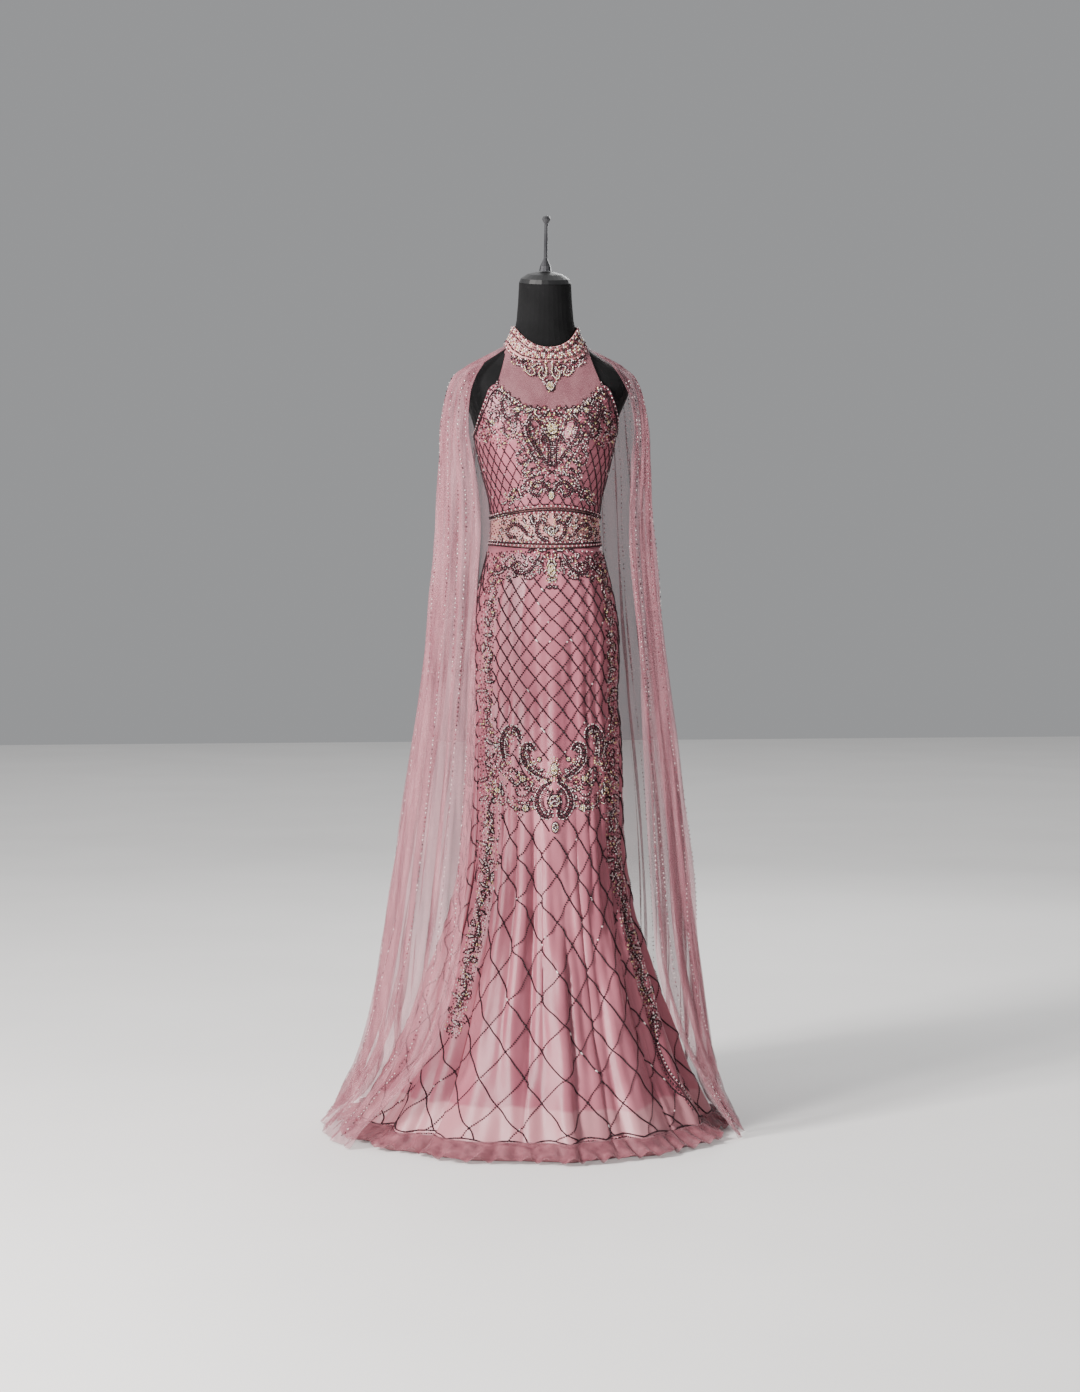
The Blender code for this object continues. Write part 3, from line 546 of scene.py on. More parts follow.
def crease(turn, z):
    """Uneven soft creases that run down the satin and drift to one side here and there."""
    angle = skirt_angle(turn)
    drift = 0.9 * np.sin(3 * angle + 4.1 * z) + 0.5 * np.sin(7 * angle - 9 * z)
    drift = drift + 0.35 * np.sin(5 * angle + 16 * z)
    broad = np.cos(19 * angle + 1.5 * drift)
    narrow = np.cos(34 * angle - 1.8 * drift)
    sharp = np.cos(53 * angle + 2.2 * drift)
    patch = 0.6 + 0.4 * np.sin(4 * angle + 6 * z)
    rumple = np.sin(41 * z + 6 * np.sin(5 * angle)) * np.cos(11 * angle + 3 * z)
    waves = 0.50 * broad + 0.35 * patch * narrow + 0.22 * (1 - patch) * sharp + 0.22 * rumple
    return smooth(SKIRT_CREASES, z, 1) * waves


def skirt_grid():
    """Outer points of the whole skirt, up to the belt."""
    angle = np.remainder(skirt_angle(SKIRT_TURNS) + math.pi, 2 * math.pi) - math.pi
    top = belt_z(angle, 0) + 4 * SEAM
    shares = np.linspace(0, 1, 8)[1:, None]
    upper = SKIRT_ROWS[-1] + (top - SKIRT_ROWS[-1]) * shares
    z = np.concatenate([np.repeat(SKIRT_ROWS[:, None], len(SKIRT_TURNS), axis=1), upper])
    base = skirt(SKIRT_TURNS[None, :], z)
    relief = crease(SKIRT_TURNS[None, :], z)[..., None]
    grid = base + (HIP_EASE + SATIN + relief) * normals_of(base, ring=True)
    grid[0, :, 2] = SKIRT_ROWS[0]
    grid[-1, :, 2] = base[-1, :, 2]
    return grid


def build_skirt():
    grid = skirt_grid()
    for side, part in zip(("front", "back"), halves(len(SKIRT_TURNS))):
        piece = shell("gown_skirt_" + side, grid[:, part], 0.0010, SATIN_PINK, "beaded_satin", "skirt_" + side)
    return grid


def build_flounce(grid):
    """Gathered tulle that spreads on the floor under the hem."""
    angle = skirt_angle(SKIRT_TURNS)
    wrapped = np.remainder(angle + math.pi, 2 * math.pi) - math.pi
    reach = around(FLOUNCE_REACH[0], FLOUNCE_REACH[1], FLOUNCE_REACH[0], wrapped)
    shares = np.linspace(0, 1, 22)[:, None]
    height = FLOUNCE_TOP * (1 - shares) ** 1.4
    index = np.interp(height, SKIRT_ROWS, np.arange(len(SKIRT_ROWS)))
    low = np.floor(index).astype(int)
    part = (index - low)[..., None]
    foot = grid[low, np.arange(grid.shape[1])[None, :]] * (1 - part) + grid[low + 1, np.arange(grid.shape[1])[None, :]] * part
    ruffle = 0.5 + 0.5 * np.cos(56 * angle + 1.5 * np.sin(5 * angle))
    fine = 0.5 + 0.5 * np.cos(89 * angle + 2.0 * np.sin(7 * angle))
    away = FLOUNCE_CLEAR + shares * (reach + 0.007 * ruffle + 0.004 * np.sin(9 * angle) - 0.004)
    away = away + 0.0055 * np.sin(math.pi * shares) * np.cos(71 * angle + 3 * np.sin(4 * angle))
    radius = np.hypot(foot[..., 0], foot[..., 1])
    x = foot[..., 0] * (1 + away / radius)
    y = foot[..., 1] * (1 + away / radius)
    z = height + 0.0018 + shares * (0.009 * ruffle + 0.006 * fine)
    frill = np.stack([x, y, z], axis=-1)
    for side, part in zip(("front", "back"), halves(len(SKIRT_TURNS))):
        name = "gown_hem_flounce_" + side
        # The flounce's net carries painted shade: its darker colours stand for the shade under the hem
        piece = shell(name, frill[:, part], 0.0006, NET_HEM_PAINTED_SHADE, "sheer_net", "hem_flounce_" + side)
    return frill


def build_bodice():
    """Front and back of the bodice, the belt, the collar and the yoke. Gives their outer grids."""
    grids = {}
    half = np.linspace(-math.pi / 2, math.pi / 2, 109)
    shares = np.linspace(0, 1, 49)[:, None]
    lift = FORM_GAP + SATIN

    foot = belt_z(half, 1) + SEAM
    z = foot + (front_top_z(half) - foot) * shares
    grids["bodice_front"] = lifted(half[None, :], z, lift)
    back = half + math.pi
    foot = belt_z(math.pi, 1) + SEAM
    top = BACK_TOP[1] + (BACK_TOP[0] - BACK_TOP[1]) * ease(np.abs(half) / (math.pi / 2))
    grids["bodice_back"] = lifted(back[None, :], foot + (top - foot) * shares, lift)

    def belt(angles, heights):
        share = np.linspace(0, 1, 33)[:, None]
        edge = np.minimum(share, 1 - share)
        cord = 0.0016 * np.exp(-(((edge - 0.075) / 0.035) ** 2))
        return lifted(angles[None, :], heights(share), FORM_GAP + BAND - 0.0006 + cord)

    grids["waistband_front"] = belt(half, lambda share: belt_z(half, share))
    grids["waistband_back"] = belt(back, lambda share: belt_z(math.pi, share) + 0 * half)
    ring = np.linspace(-math.pi, math.pi, 145)
    share = np.linspace(0, 1, 19)[:, None]
    edge = np.minimum(share, 1 - share)
    cord = 0.0012 * np.exp(-(((edge - 0.15) / 0.07) ** 2))
    body = FORM_GAP + NET + (BAND - NET) * ease(share / 0.12)
    grids["collar"] = lifted(ring[None, :], collar_z(ring, share), body + cord)
    grids["yoke_front"] = yoke_grid(81, 41)
    finishes = {
        "bodice_front": (SATIN_PINK, "beaded_satin", 0.0010),
        "bodice_back": (SATIN_PINK, "beaded_satin", 0.0010),
        "waistband_front": (BAND_PINK, "beaded_band", 0.0014),
        "waistband_back": (BAND_PINK, "beaded_band", 0.0014),
        "collar": (BAND_PINK, "beaded_band", 0.0010),
        "yoke_front": (NET_YOKE, "sheer_net", 0.0006),
    }
    for node, grid in grids.items():
        material, slot, thickness = finishes[node]
        piece = shell("gown_" + node, grid, thickness, material, slot, node)
    return grids


def yoke_grid(columns, rows):
    """The net yoke, from the sweetheart line to the collar's foot."""
    across = np.linspace(-1, 1, columns)[None, :]
    share = np.linspace(0, 1, rows)[:, None]
    foot = front_top_z(across * SWEETHEART_END) + SEAM
    head = collar_z(across * YOKE_HEAD_END, 0) - SEAM
    z = foot + (head - foot) * share
    limit = smooth(YOKE_EDGE, share, 1) / smooth(FIGURE, z, 1)
    reach = np.arcsin(np.minimum(0.98, limit) ** (smooth(FIGURE, z, 4) / 2))
    low = ease(share / 0.12)
    high = ease((1 - share) / 0.14)
    angle = across * (SWEETHEART_END * (1 - low) + reach * low * high + YOKE_HEAD_END * (1 - high))
    return lifted(angle, z, FORM_GAP + NET)


def build_cape():
    """Three widths of sheer net, from the collar to the floor."""
    third = 98
    shares = np.linspace(-1, 1, 3 * third + 1)
    angle = np.copysign(math.pi - (math.pi - CAPE_HEAD_END) * np.abs(shares), shares)
    seam = lifted(angle, collar_z(angle, 0) - 1.2 * SEAM, FORM_GAP + NET)
    levels = np.linspace(0, len(CAPE) - 1, 118)
    body = cape(shares[None, :], levels[:, None])
    steps = np.linspace(0, 1, 9)[:-1, None, None]
    head = seam[None] * (1 - steps) + body[:1] * steps
    grid = np.concatenate([head, body])
    gather = 0.5 + 0.5 * np.cos(2 * math.pi * 58 * shares + 1.5 * np.sin(11 * shares))
    fade = np.concatenate([ease(np.linspace(0, 1, 9)[:-1]), np.exp(-levels / 1.6)])
    pleat = 0.5 + 0.5 * np.cos(2 * math.pi * (47 * shares + 0.8 * np.sin(7 * shares) + 0.5 * np.sin(0.7 * levels[:, None])))
    pleat = np.concatenate([np.zeros((8, pleat.shape[1])), pleat * ease(levels / 3)[:, None]])
    relief = 0.0022 * fade[:, None] * gather + 0.0038 * pleat
    grid = grid + relief[..., None] * normals_of(grid)
    for k, name in enumerate(("cape_right", "cape_back", "cape_left")):
        part = slice(k * third, (k + 1) * third + 1)
        piece = shell("gown_" + name, grid[:, part], 0.0006, NET_MAUVE, "sheer_net", name)
    return grid


# Beads


def sphere_template(fine):
    """A small round bead: an icosahedron, or an octahedron where thousands are laid."""
    if not fine:
        verts = np.array([(1, 0, 0), (-1, 0, 0), (0, 1, 0), (0, -1, 0), (0, 0, 1), (0, 0, -1)], float)
        faces = [(0, 2, 4), (2, 1, 4), (1, 3, 4), (3, 0, 4), (2, 0, 5), (1, 2, 5), (3, 1, 5), (0, 3, 5)]
        return verts, np.array(faces)
    g = (1 + math.sqrt(5)) / 2
    verts = [(-1, g, 0), (1, g, 0), (-1, -g, 0), (1, -g, 0), (0, -1, g), (0, 1, g)]
    verts += [(0, -1, -g), (0, 1, -g), (g, 0, -1), (g, 0, 1), (-g, 0, -1), (-g, 0, 1)]
    faces = [(0, 11, 5), (0, 5, 1), (0, 1, 7), (0, 7, 10), (0, 10, 11), (1, 5, 9), (5, 11, 4)]
    faces += [(11, 10, 2), (10, 7, 6), (7, 1, 8), (3, 9, 4), (3, 4, 2), (3, 2, 6), (3, 6, 8)]
    faces += [(3, 8, 9), (4, 9, 5), (2, 4, 11), (6, 2, 10), (8, 6, 7), (9, 8, 1)]
    verts = np.array(verts, float)
    return verts / np.linalg.norm(verts[0]), np.array(faces)


def bugle_template():
    """A short glass tube along its first axis."""
    ring = [(math.cos(a), math.sin(a)) for a in np.radians((45, 135, 225, 315))]
    verts = [(end, y, z) for end in (-1, 1) for y, z in ring]
    faces = []
    for k in range(4):
        n = (k + 1) % 4
        faces += [(k, 4 + k, 4 + n), (k, 4 + n, n)]
    faces += [(0, 1, 2), (0, 2, 3), (4, 6, 5), (4, 7, 6)]
    return np.array(verts), np.array(faces)


TEMPLATES = {"seed": sphere_template(False), "round": sphere_template(True), "bugle": bugle_template()}


class Beads:
    """Collects beads of several kinds and makes one mesh of them."""

    def __init__(self):
        self.verts = []
        self.faces = []
        self.materials = []
        self.count = 0

    def lay(self, kind, points, normals, tangents, size, colour, lift=0.6):
        """Beads at points. size is (along, across, out) in metres, or one such row for each bead."""
        points, normals, tangents = (np.asarray(a, float).reshape(-1, 3) for a in (points, normals, tangents))
        if not len(points):
            return
        size = np.broadcast_to(np.asarray(size, float), (len(points), 3))
        colour = np.broadcast_to(colour, len(points))
        template, faces = TEMPLATES[kind]
        side = np.cross(normals, tangents)
        side /= np.maximum(np.linalg.norm(side, axis=1, keepdims=True), 1e-9)
        along = np.cross(side, normals)
        local = template[None] * size[:, None, :]
        centre = points + normals * (size[:, 2] * lift)[:, None]
        verts = (
            centre[:, None]
            + local[..., 0:1] * along[:, None]
            + local[..., 1:2] * side[:, None]
            + local[..., 2:3] * normals[:, None]
        )
        offsets = self.count + np.arange(len(points)) * len(template)
        self.faces.append((faces[None] + offsets[:, None, None]).reshape(-1, 3))
        self.materials.append(np.repeat(colour, len(faces)))
        self.verts.append(verts.reshape(-1, 3))
        self.count += len(points) * len(template)

    def build(self, name, materials):
        verts, faces = np.concatenate(self.verts), np.concatenate(self.faces)
        mesh = bpy.data.meshes.new(name)
        mesh.vertices.add(len(verts))
        mesh.vertices.foreach_set("co", verts.ravel())
        mesh.loops.add(faces.size)
        mesh.loops.foreach_set("vertex_index", faces.ravel())
        mesh.polygons.add(len(faces))
        mesh.polygons.foreach_set("loop_start", np.arange(0, faces.size, 3))
        mesh.polygons.foreach_set("material_index", np.concatenate(self.materials))
        mesh.update(calc_edges=True)
        mesh.validate()
        for material in materials:
            mesh.materials.append(material)
        obj = bpy.data.objects.new(name, mesh)
        bpy.context.scene.collection.objects.link(obj)
        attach(obj, "root")
        return obj


DARK, ROSE, SILVER, GOLD = range(4)
SEED_WIDE = 1.35
# Beads wanted further than this past a panel's side seam are left out
PAST_SIDE = 0.001
BLOCK = 10.0
BEAD_SET = (BEAD_DARK, BEAD_ROSE, BEAD_SILVER, BEAD_GOLD)


class Patch:
    """Finds points of a grid of cloth by column and row, or by x and z on its front."""

    def __init__(self, grid, ring=False):
        self.grid = grid
        self.normals = normals_of(grid, ring)
        rows, columns = grid.shape[:2]
        self.heights = (grid[..., 2].T + BLOCK * np.arange(columns)[:, None]).ravel()

    def at(self, column, row):
        rows, columns = self.grid.shape[:2]
        column = np.clip(column, 0, columns - 1.001)
        row = np.clip(row, 0, rows - 1.001)
        j, i = np.floor(column).astype(int), np.floor(row).astype(int)
        s, t = (column - j)[..., None], (row - i)[..., None]

        def blend(a):
            low = a[i, j] * (1 - s) + a[i, j + 1] * s
            high = a[i + 1, j] * (1 - s) + a[i + 1, j + 1] * s
            return low * (1 - t) + high * t

        normal = blend(self.normals)
        return blend(self.grid), normal / np.linalg.norm(normal, axis=-1, keepdims=True)

    def row_at(self, column, z):
        """Rows of the heights z on the nearest whole columns."""
        rows, columns = self.grid.shape[:2]
        j = np.clip(np.round(column).astype(int), 0, columns - 1)
        i = np.searchsorted(self.heights, z + BLOCK * j) - 1 - rows * j
        i = np.clip(i, 0, rows - 2)
        low, high = self.grid[i, j, 2], self.grid[i + 1, j, 2]
        return np.clip(i + (z - low) / np.maximum(high - low, 1e-9), 0, rows - 1)

    def front(self, x, z):
        """The front's points at x and z, halving the reach of columns at each step."""
        x, z = np.broadcast_arrays(np.asarray(x, float), np.asarray(z, float))
        column = np.full(x.shape, (self.grid.shape[1] - 1) / 2)
        step = column / 2
        for _ in range(17):
            point, _ = self.at(column, self.row_at(column, z))
            column = column + np.where(point[..., 0] < x, step, -step)
            step = step / 2
        return self.at(column, self.row_at(column, z))


def spaced(points, pitch):
    """Points a pitch apart along a line of points, with their directions."""
    points = np.asarray(points, float)
    steps = np.linalg.norm(np.diff(points, axis=0), axis=1)
    length = np.concatenate([[0], np.cumsum(steps)])
    count = max(2, int(length[-1] / pitch) + 1)
    at = np.linspace(0, length[-1], count)
    spots = np.stack([np.interp(at, length, points[:, k]) for k in range(points.shape[1])], axis=1)
    return spots, np.gradient(spots, axis=0)


def curve(points, count):
    """Points on a smooth curve through the given ones."""
    points = np.array(points, float)
    points = np.concatenate([[2 * points[0] - points[1]], points, [2 * points[-1] - points[-2]]])
    steps = np.linspace(0, len(points) - 3, count)
    i = np.minimum(steps.astype(int), len(points) - 4)
    t = (steps - i)[:, None]
    a, b, c, d = points[i], points[i + 1], points[i + 2], points[i + 3]
    return b + 0.5 * t * (c - a + t * (2 * a - 5 * b + 4 * c - d + t * (3 * (b - c) + d - a)))


def lattice(beads, patch, columns, turns, heights, anchor, keep, bugle, seed, span):
    """Two families of bead lines that cross as diamonds.

    heights gives a diamond's height by z, and two lines cross on the front's middle at the anchor.
    """
    z = np.linspace(span[0], span[1], 900)
    level = np.concatenate([[0], np.cumsum(np.diff(z) / np.interp(z[1:], *heights))])
    level += 0.5 - np.interp(anchor, z, level)
    reach = int(math.ceil(np.abs(level).max())) + 1
    start, end = turns
    for direction, kind in ((-1, "bugle"), (1, "seed")):
        for k in range(-reach, columns + reach):
            wobble = 0.035 * np.sin(23 * z + 2.1 * k) + 0.02 * np.sin(57 * z - 1.3 * k)
            wobble = wobble + 0.10 * np.exp(-z / 0.045) * np.sin(150 * z + 1.7 * k)
            place = (k + direction * level + wobble) / columns
            inside = (place >= 0) & (place <= 1)
            if inside.sum() < 4:
                continue
            column = place[inside] * (patch.grid.shape[1] - 1)
            row = patch.row_at(column, z[inside])
            line, _ = patch.at(column, row)
            pitch = bugle[3] if kind == "bugle" else seed[3]
            steps = np.linalg.norm(np.diff(line, axis=0), axis=1)
            length = np.concatenate([[0], np.cumsum(steps)])
            number = int(length[-1] / pitch)
            if number < 2:
                continue
            at = (np.arange(number) + 0.5) * pitch
            column, row = np.interp(at, length, column), np.interp(at, length, row)
            points, normals = patch.at(column, row)
            tangents = np.gradient(points, axis=0)
            use = keep(points)
            size = bugle[:3] if kind == "bugle" else seed[:3]
            colours = np.where(rng.random(len(points)) < 0.015, SILVER, DARK)
            beads.lay(kind, points[use], normals[use], tangents[use], size, colours[use])


# Beaded motifs. Each is a region of the front given as a line of (x, z) with a width, mirrored
BODICE_REGIONS = [
    (0.026, [(0.000, 1.368), (0.028, 1.374), (0.050, 1.388), (0.074, 1.404), (0.098, 1.420)]),
    (0.030, [(0.074, 1.388), (0.098, 1.388), (0.114, 1.370), (0.120, 1.340)]),
    (0.030, [(0.052, 1.372), (0.074, 1.356), (0.096, 1.330)]),
    (0.022, [(0.056, 1.340), (0.060, 1.312), (0.050, 1.290)]),
    (0.048, [(0.000, 1.366), (0.000, 1.330), (0.000, 1.280)]),
    (0.030, [(0.038, 1.346), (0.034, 1.316), (0.020, 1.290)]),
    (0.022, [(0.010, 1.290), (0.030, 1.274), (0.050, 1.262)]),
    (0.026, [(0.000, 1.246), (0.040, 1.240), (0.066, 1.228), (0.080, 1.218)]),
]
YOKE_REGIONS = [
    (0.030, [(0.000, 1.470), (0.000, 1.458), (0.000, 1.448)]),
    (0.016, [(0.000, 1.446), (0.000, 1.428)]),
    (0.026, [(0.012, 1.466), (0.034, 1.470), (0.060, 1.486)]),
]
SKIRT_REGIONS = [
    (0.034, [(0.000, 1.112), (0.040, 1.106), (0.078, 1.104), (0.096, 1.100)]),
    (0.026, [(0.020, 1.092), (0.046, 1.082), (0.072, 1.082), (0.096, 1.072)]),
    (0.022, [(0.000, 1.098), (0.000, 1.056)]),
    (0.024, [(0.106, 1.074), (0.117, 1.000), (0.121, 0.930), (0.122, 0.850), (0.121, 0.760)]),
    (0.034, [(0.119, 0.760), (0.117, 0.680), (0.118, 0.600), (0.122, 0.520)]),
    (0.030, [(0.122, 0.520), (0.140, 0.420), (0.166, 0.320), (0.196, 0.215)]),
    (0.058, [(0.000, 0.644), (0.000, 0.662)]),
    (0.022, [(0.000, 0.712), (0.000, 0.590)]),
    (0.026, [(0.016, 0.690), (0.036, 0.700), (0.054, 0.728), (0.052, 0.744)]),
    (0.028, [(0.040, 0.676), (0.066, 0.684), (0.092, 0.706), (0.094, 0.752), (0.080, 0.776)]),
    (0.028, [(0.040, 0.644), (0.068, 0.634), (0.094, 0.650), (0.110, 0.680)]),
]


def distance_to(points, line):
    """Distance of (x, z) points from a line of points."""
    best = np.full(len(points), np.inf)
    for a, b in zip(line, line[1:]):
        a, b = np.array(a), np.array(b)
        along = b - a
        t = np.clip((points - a) @ along / max(along @ along, 1e-12), 0, 1)
        best = np.minimum(best, np.linalg.norm(points - (a + t[:, None] * along), axis=1))
    return best


def in_regions(points, regions, extra=0.0):
    """Whether points of the front, (x, y, z), lie in a motif's region."""
    flat = np.stack([np.abs(points[:, 0]), points[:, 2]], axis=1)
    found = np.zeros(len(points), bool)
    for width, line in regions:
        found |= distance_to(flat, line) < width / 2 + extra
    return found & (points[:, 1] < 0.02)


def scatter(regions, gap):
    """Places at least a gap apart in the wearer's left half of the regions."""
    spots = np.zeros((0, 2))
    for width, line in regions:
        low = np.min(line, axis=0) - width / 2
        high = np.max(line, axis=0) + width / 2
        tries = low + rng.random((int(12 * np.prod(high - low) / gap**2) + 40, 2)) * (high - low)
        tries = tries[(tries[:, 0] > 0.0035) & (distance_to(tries, line) < width / 2 - 0.3 * gap)]
        for spot in tries:
            if not len(spots) or np.hypot(*(spots - spot).T).min() > gap:
                spots = np.concatenate([spots, spot[None]])
    return spots


def trace(beads, patch, line, kind, size, pitch, colours, lift=0.6):
    """A row of beads along a line of (x, z) on a patch's front. A closed line's last bead is its first."""
    spots, _ = spaced(line, pitch)
    if np.allclose(line[0], line[-1]):
        spots = spots[:-1]
    points, normals = patch.front(spots[:, 0], spots[:, 1])
    tangents = np.gradient(points, axis=0) if len(points) > 1 else np.array([[0.0, 0.0, 1.0]])
    chosen = np.array(colours)[np.arange(len(points)) % len(colours)]
    on = np.abs(points[:, 0] - spots[:, 0]) < PAST_SIDE
    beads.lay(kind, points[on], normals[on], tangents[on], size, chosen[on], lift)


def beside(line, offset):
    """A line moved to its side."""
    ahead = np.gradient(line, axis=0)
    across = np.stack([-ahead[:, 1], ahead[:, 0]], axis=1)
    return line + offset * across / np.maximum(np.linalg.norm(across, axis=1, keepdims=True), 1e-9)


def both_sides(beads, patch, line, colours, size=0.0014, lift=0.6):
    kind, wide = ("round", 1.0) if size > 0.00155 else ("seed", SEED_WIDE)
    reach = (wide * size, wide * size, 0.95 * size)
    for side in (1, -1):
        trace(beads, patch, line * (side, 1), kind, reach, 1.95 * size, colours, lift)


def vine(beads, patch, points, colour=None):
    """A stem of dark beads with a silver row on its inner side, on both halves of the front."""
    line = curve(points, 50)
    colour = DARK if colour is None else colour
    both_sides(beads, patch, line, (colour,), 0.0016)
    both_sides(beads, patch, beside(line, 0.0031), (SILVER, DARK, SILVER, ROSE), 0.0013)


def small_motif(beads, patch, spot, size, style, turn):
    """A curl, a flower, a leaf or a cluster at a place of the front, and its mirrored twin."""
    a = np.linspace(0, 1, 30)
    c, s = math.cos(turn), math.sin(turn)

    def placed(u, v):
        return np.stack([spot[0] + c * u - s * v, spot[1] + s * u + c * v], axis=1)

    if style == 0:
        radius = size * (0.22 + 0.78 * a)
        line = placed(radius * np.cos(5.6 * a), radius * np.sin(5.6 * a))
        both_sides(beads, patch, line, (DARK,), 0.0015)
        both_sides(beads, patch, beside(line, 0.0028), (SILVER, ROSE), 0.0011)
    elif style == 1:
        for k in range(5):
            way = 2 * math.pi * k / 5
            petal = 0.62 * size
            u = petal * math.cos(way) + 0.36 * size * np.cos(2 * math.pi * a)
            v = petal * math.sin(way) + 0.36 * size * np.sin(2 * math.pi * a)
            both_sides(beads, patch, placed(u, v), ((DARK, ROSE, DARK)[k % 3],), 0.0010)
        middle = placed(np.array([-0.12, 0.12]) * size, np.zeros(2))
        both_sides(beads, patch, middle, (GOLD,), 0.0016, 1.0)
    elif style == 2:
        u = size * (2 * a - 1)
        v = 0.42 * size * np.sin(math.pi * a)
        both_sides(beads, patch, placed(u, v), (DARK,), 0.0014)
        both_sides(beads, patch, placed(u, -v), (DARK,), 0.0014)
        both_sides(beads, patch, placed(0.6 * u, 0 * v), (SILVER,), 0.0012, 0.9)
    else:
        way = rng.uniform(0, 2 * math.pi, 5)
        far = size * rng.uniform(0.1, 0.8, 5)
        line = placed(far * np.cos(way), far * np.sin(way))
        both_sides(beads, patch, line, (SILVER, GOLD, ROSE), 0.0013)


def rosette(beads, patch, spot, radius):
    """A small stone of champagne beads in dark ones, and its mirrored twin."""
    turn = np.linspace(0, 2 * math.pi, 25)
    ring = np.stack([np.sin(turn), np.cos(turn)], axis=1)
    for scale, size, colours, lift in ((1.0, 0.0016, (DARK,), 0.6), (0.6, 0.0015, (GOLD, SILVER), 1.0), (0.2, 0.0015, (GOLD,), 1.5)):
        both_sides(beads, patch, np.array(spot) + scale * radius * ring, colours, size, lift)


def fill(beads, patch, regions, gap, size):
    """Motifs all over the regions, with loose small beads between them."""
    for spot in scatter(regions, gap):
        style = rng.choice(4, p=(0.42, 0.16, 0.28, 0.14))
        small_motif(beads, patch, spot, size * rng.uniform(0.85, 1.2), style, rng.uniform(0, 2 * math.pi))
    loose = scatter(regions, 0.0039)
    loose = np.concatenate([loose, loose * (-1, 1)])
    points, normals = patch.front(loose[:, 0], loose[:, 1])
    tangents = rng.normal(size=points.shape)
    size = 0.0018 * rng.uniform(0.75, 1.2, (len(points), 1)) * np.ones(3)
    colours = rng.choice([SILVER, ROSE, DARK, GOLD], len(points), p=(0.30, 0.10, 0.50, 0.10))
    on = np.abs(points[:, 0] - loose[:, 0]) < PAST_SIDE
    beads.lay("seed", points[on], normals[on], tangents[on], size[on], colours[on])


# Stems of the bead embroidery on the wearer's left, mirrored on the right. Points (x, z) of the front
BODICE_VINES = [
    [(0.046, 1.391), (0.052, 1.399), (0.062, 1.396), (0.070, 1.386), (0.080, 1.391), (0.088, 1.404), (0.094, 1.420)],
    [(0.066, 1.377), (0.080, 1.374), (0.091, 1.360), (0.088, 1.342), (0.074, 1.336), (0.066, 1.344)],
    [(0.098, 1.398), (0.110, 1.384), (0.117, 1.366), (0.112, 1.348), (0.103, 1.346)],
    [(0.053, 1.330), (0.046, 1.316), (0.038, 1.300), (0.026, 1.286)],
    [(0.060, 1.310), (0.066, 1.300), (0.062, 1.288), (0.050, 1.286), (0.046, 1.296)],
    [(0.040, 1.272), (0.050, 1.266), (0.058, 1.272), (0.052, 1.280)],
    [(0.012, 1.262), (0.026, 1.264), (0.044, 1.256), (0.052, 1.242), (0.046, 1.232)],
    [(0.058, 1.222), (0.066, 1.238), (0.076, 1.224), (0.058, 1.221)],
    [(0.012, 1.350), (0.018, 1.346), (0.014, 1.338), (0.006, 1.341)],
]
YOKE_VINES = [
    [(0.052, 1.492), (0.058, 1.484), (0.050, 1.476), (0.042, 1.480)],
    [(0.004, 1.452), (0.011, 1.447), (0.007, 1.438), (0.001, 1.436)],
]
BAND_VINES = [
    [(0.034, 1.186), (0.037, 1.178), (0.034, 1.170), (0.031, 1.178), (0.034, 1.186)],
    [(0.086, 1.176), (0.080, 1.182), (0.084, 1.188), (0.090, 1.184)],
    [(0.090, 1.148), (0.094, 1.158), (0.090, 1.166), (0.086, 1.158)],
    [(0.006, 1.184), (0.014, 1.190), (0.022, 1.186)],
    [(0.032, 1.142), (0.042, 1.138), (0.052, 1.140)],
]
SKIRT_VINES = [
    [(0.012, 1.108), (0.020, 1.100), (0.018, 1.088), (0.010, 1.082)],
    [(0.078, 1.106), (0.086, 1.098), (0.082, 1.088), (0.074, 1.092)],
    [(0.030, 1.074), (0.040, 1.066), (0.052, 1.068), (0.050, 1.078)],
    [(0.108, 1.060), (0.102, 1.040), (0.112, 1.020), (0.106, 1.000), (0.116, 0.980)],
    [(0.112, 0.965), (0.118, 0.940), (0.110, 0.920), (0.118, 0.895), (0.112, 0.870)],
    [(0.120, 0.850), (0.112, 0.830), (0.120, 0.805), (0.114, 0.785)],
    [(0.070, 0.700), (0.060, 0.690), (0.066, 0.676), (0.080, 0.680), (0.084, 0.694)],
    [(0.046, 0.664), (0.056, 0.654), (0.070, 0.656), (0.074, 0.668)],
    [(0.052, 0.636), (0.066, 0.628), (0.084, 0.636), (0.088, 0.650)],
    [(0.100, 0.700), (0.108, 0.715), (0.104, 0.735), (0.110, 0.755)],
    [(0.110, 0.650), (0.120, 0.630), (0.112, 0.605), (0.120, 0.580)],
    [(0.116, 0.560), (0.126, 0.535), (0.120, 0.505), (0.130, 0.480)],
    [(0.130, 0.460), (0.142, 0.435), (0.140, 0.400), (0.152, 0.370)],
    [(0.154, 0.350), (0.170, 0.325), (0.170, 0.290), (0.188, 0.255)],
]


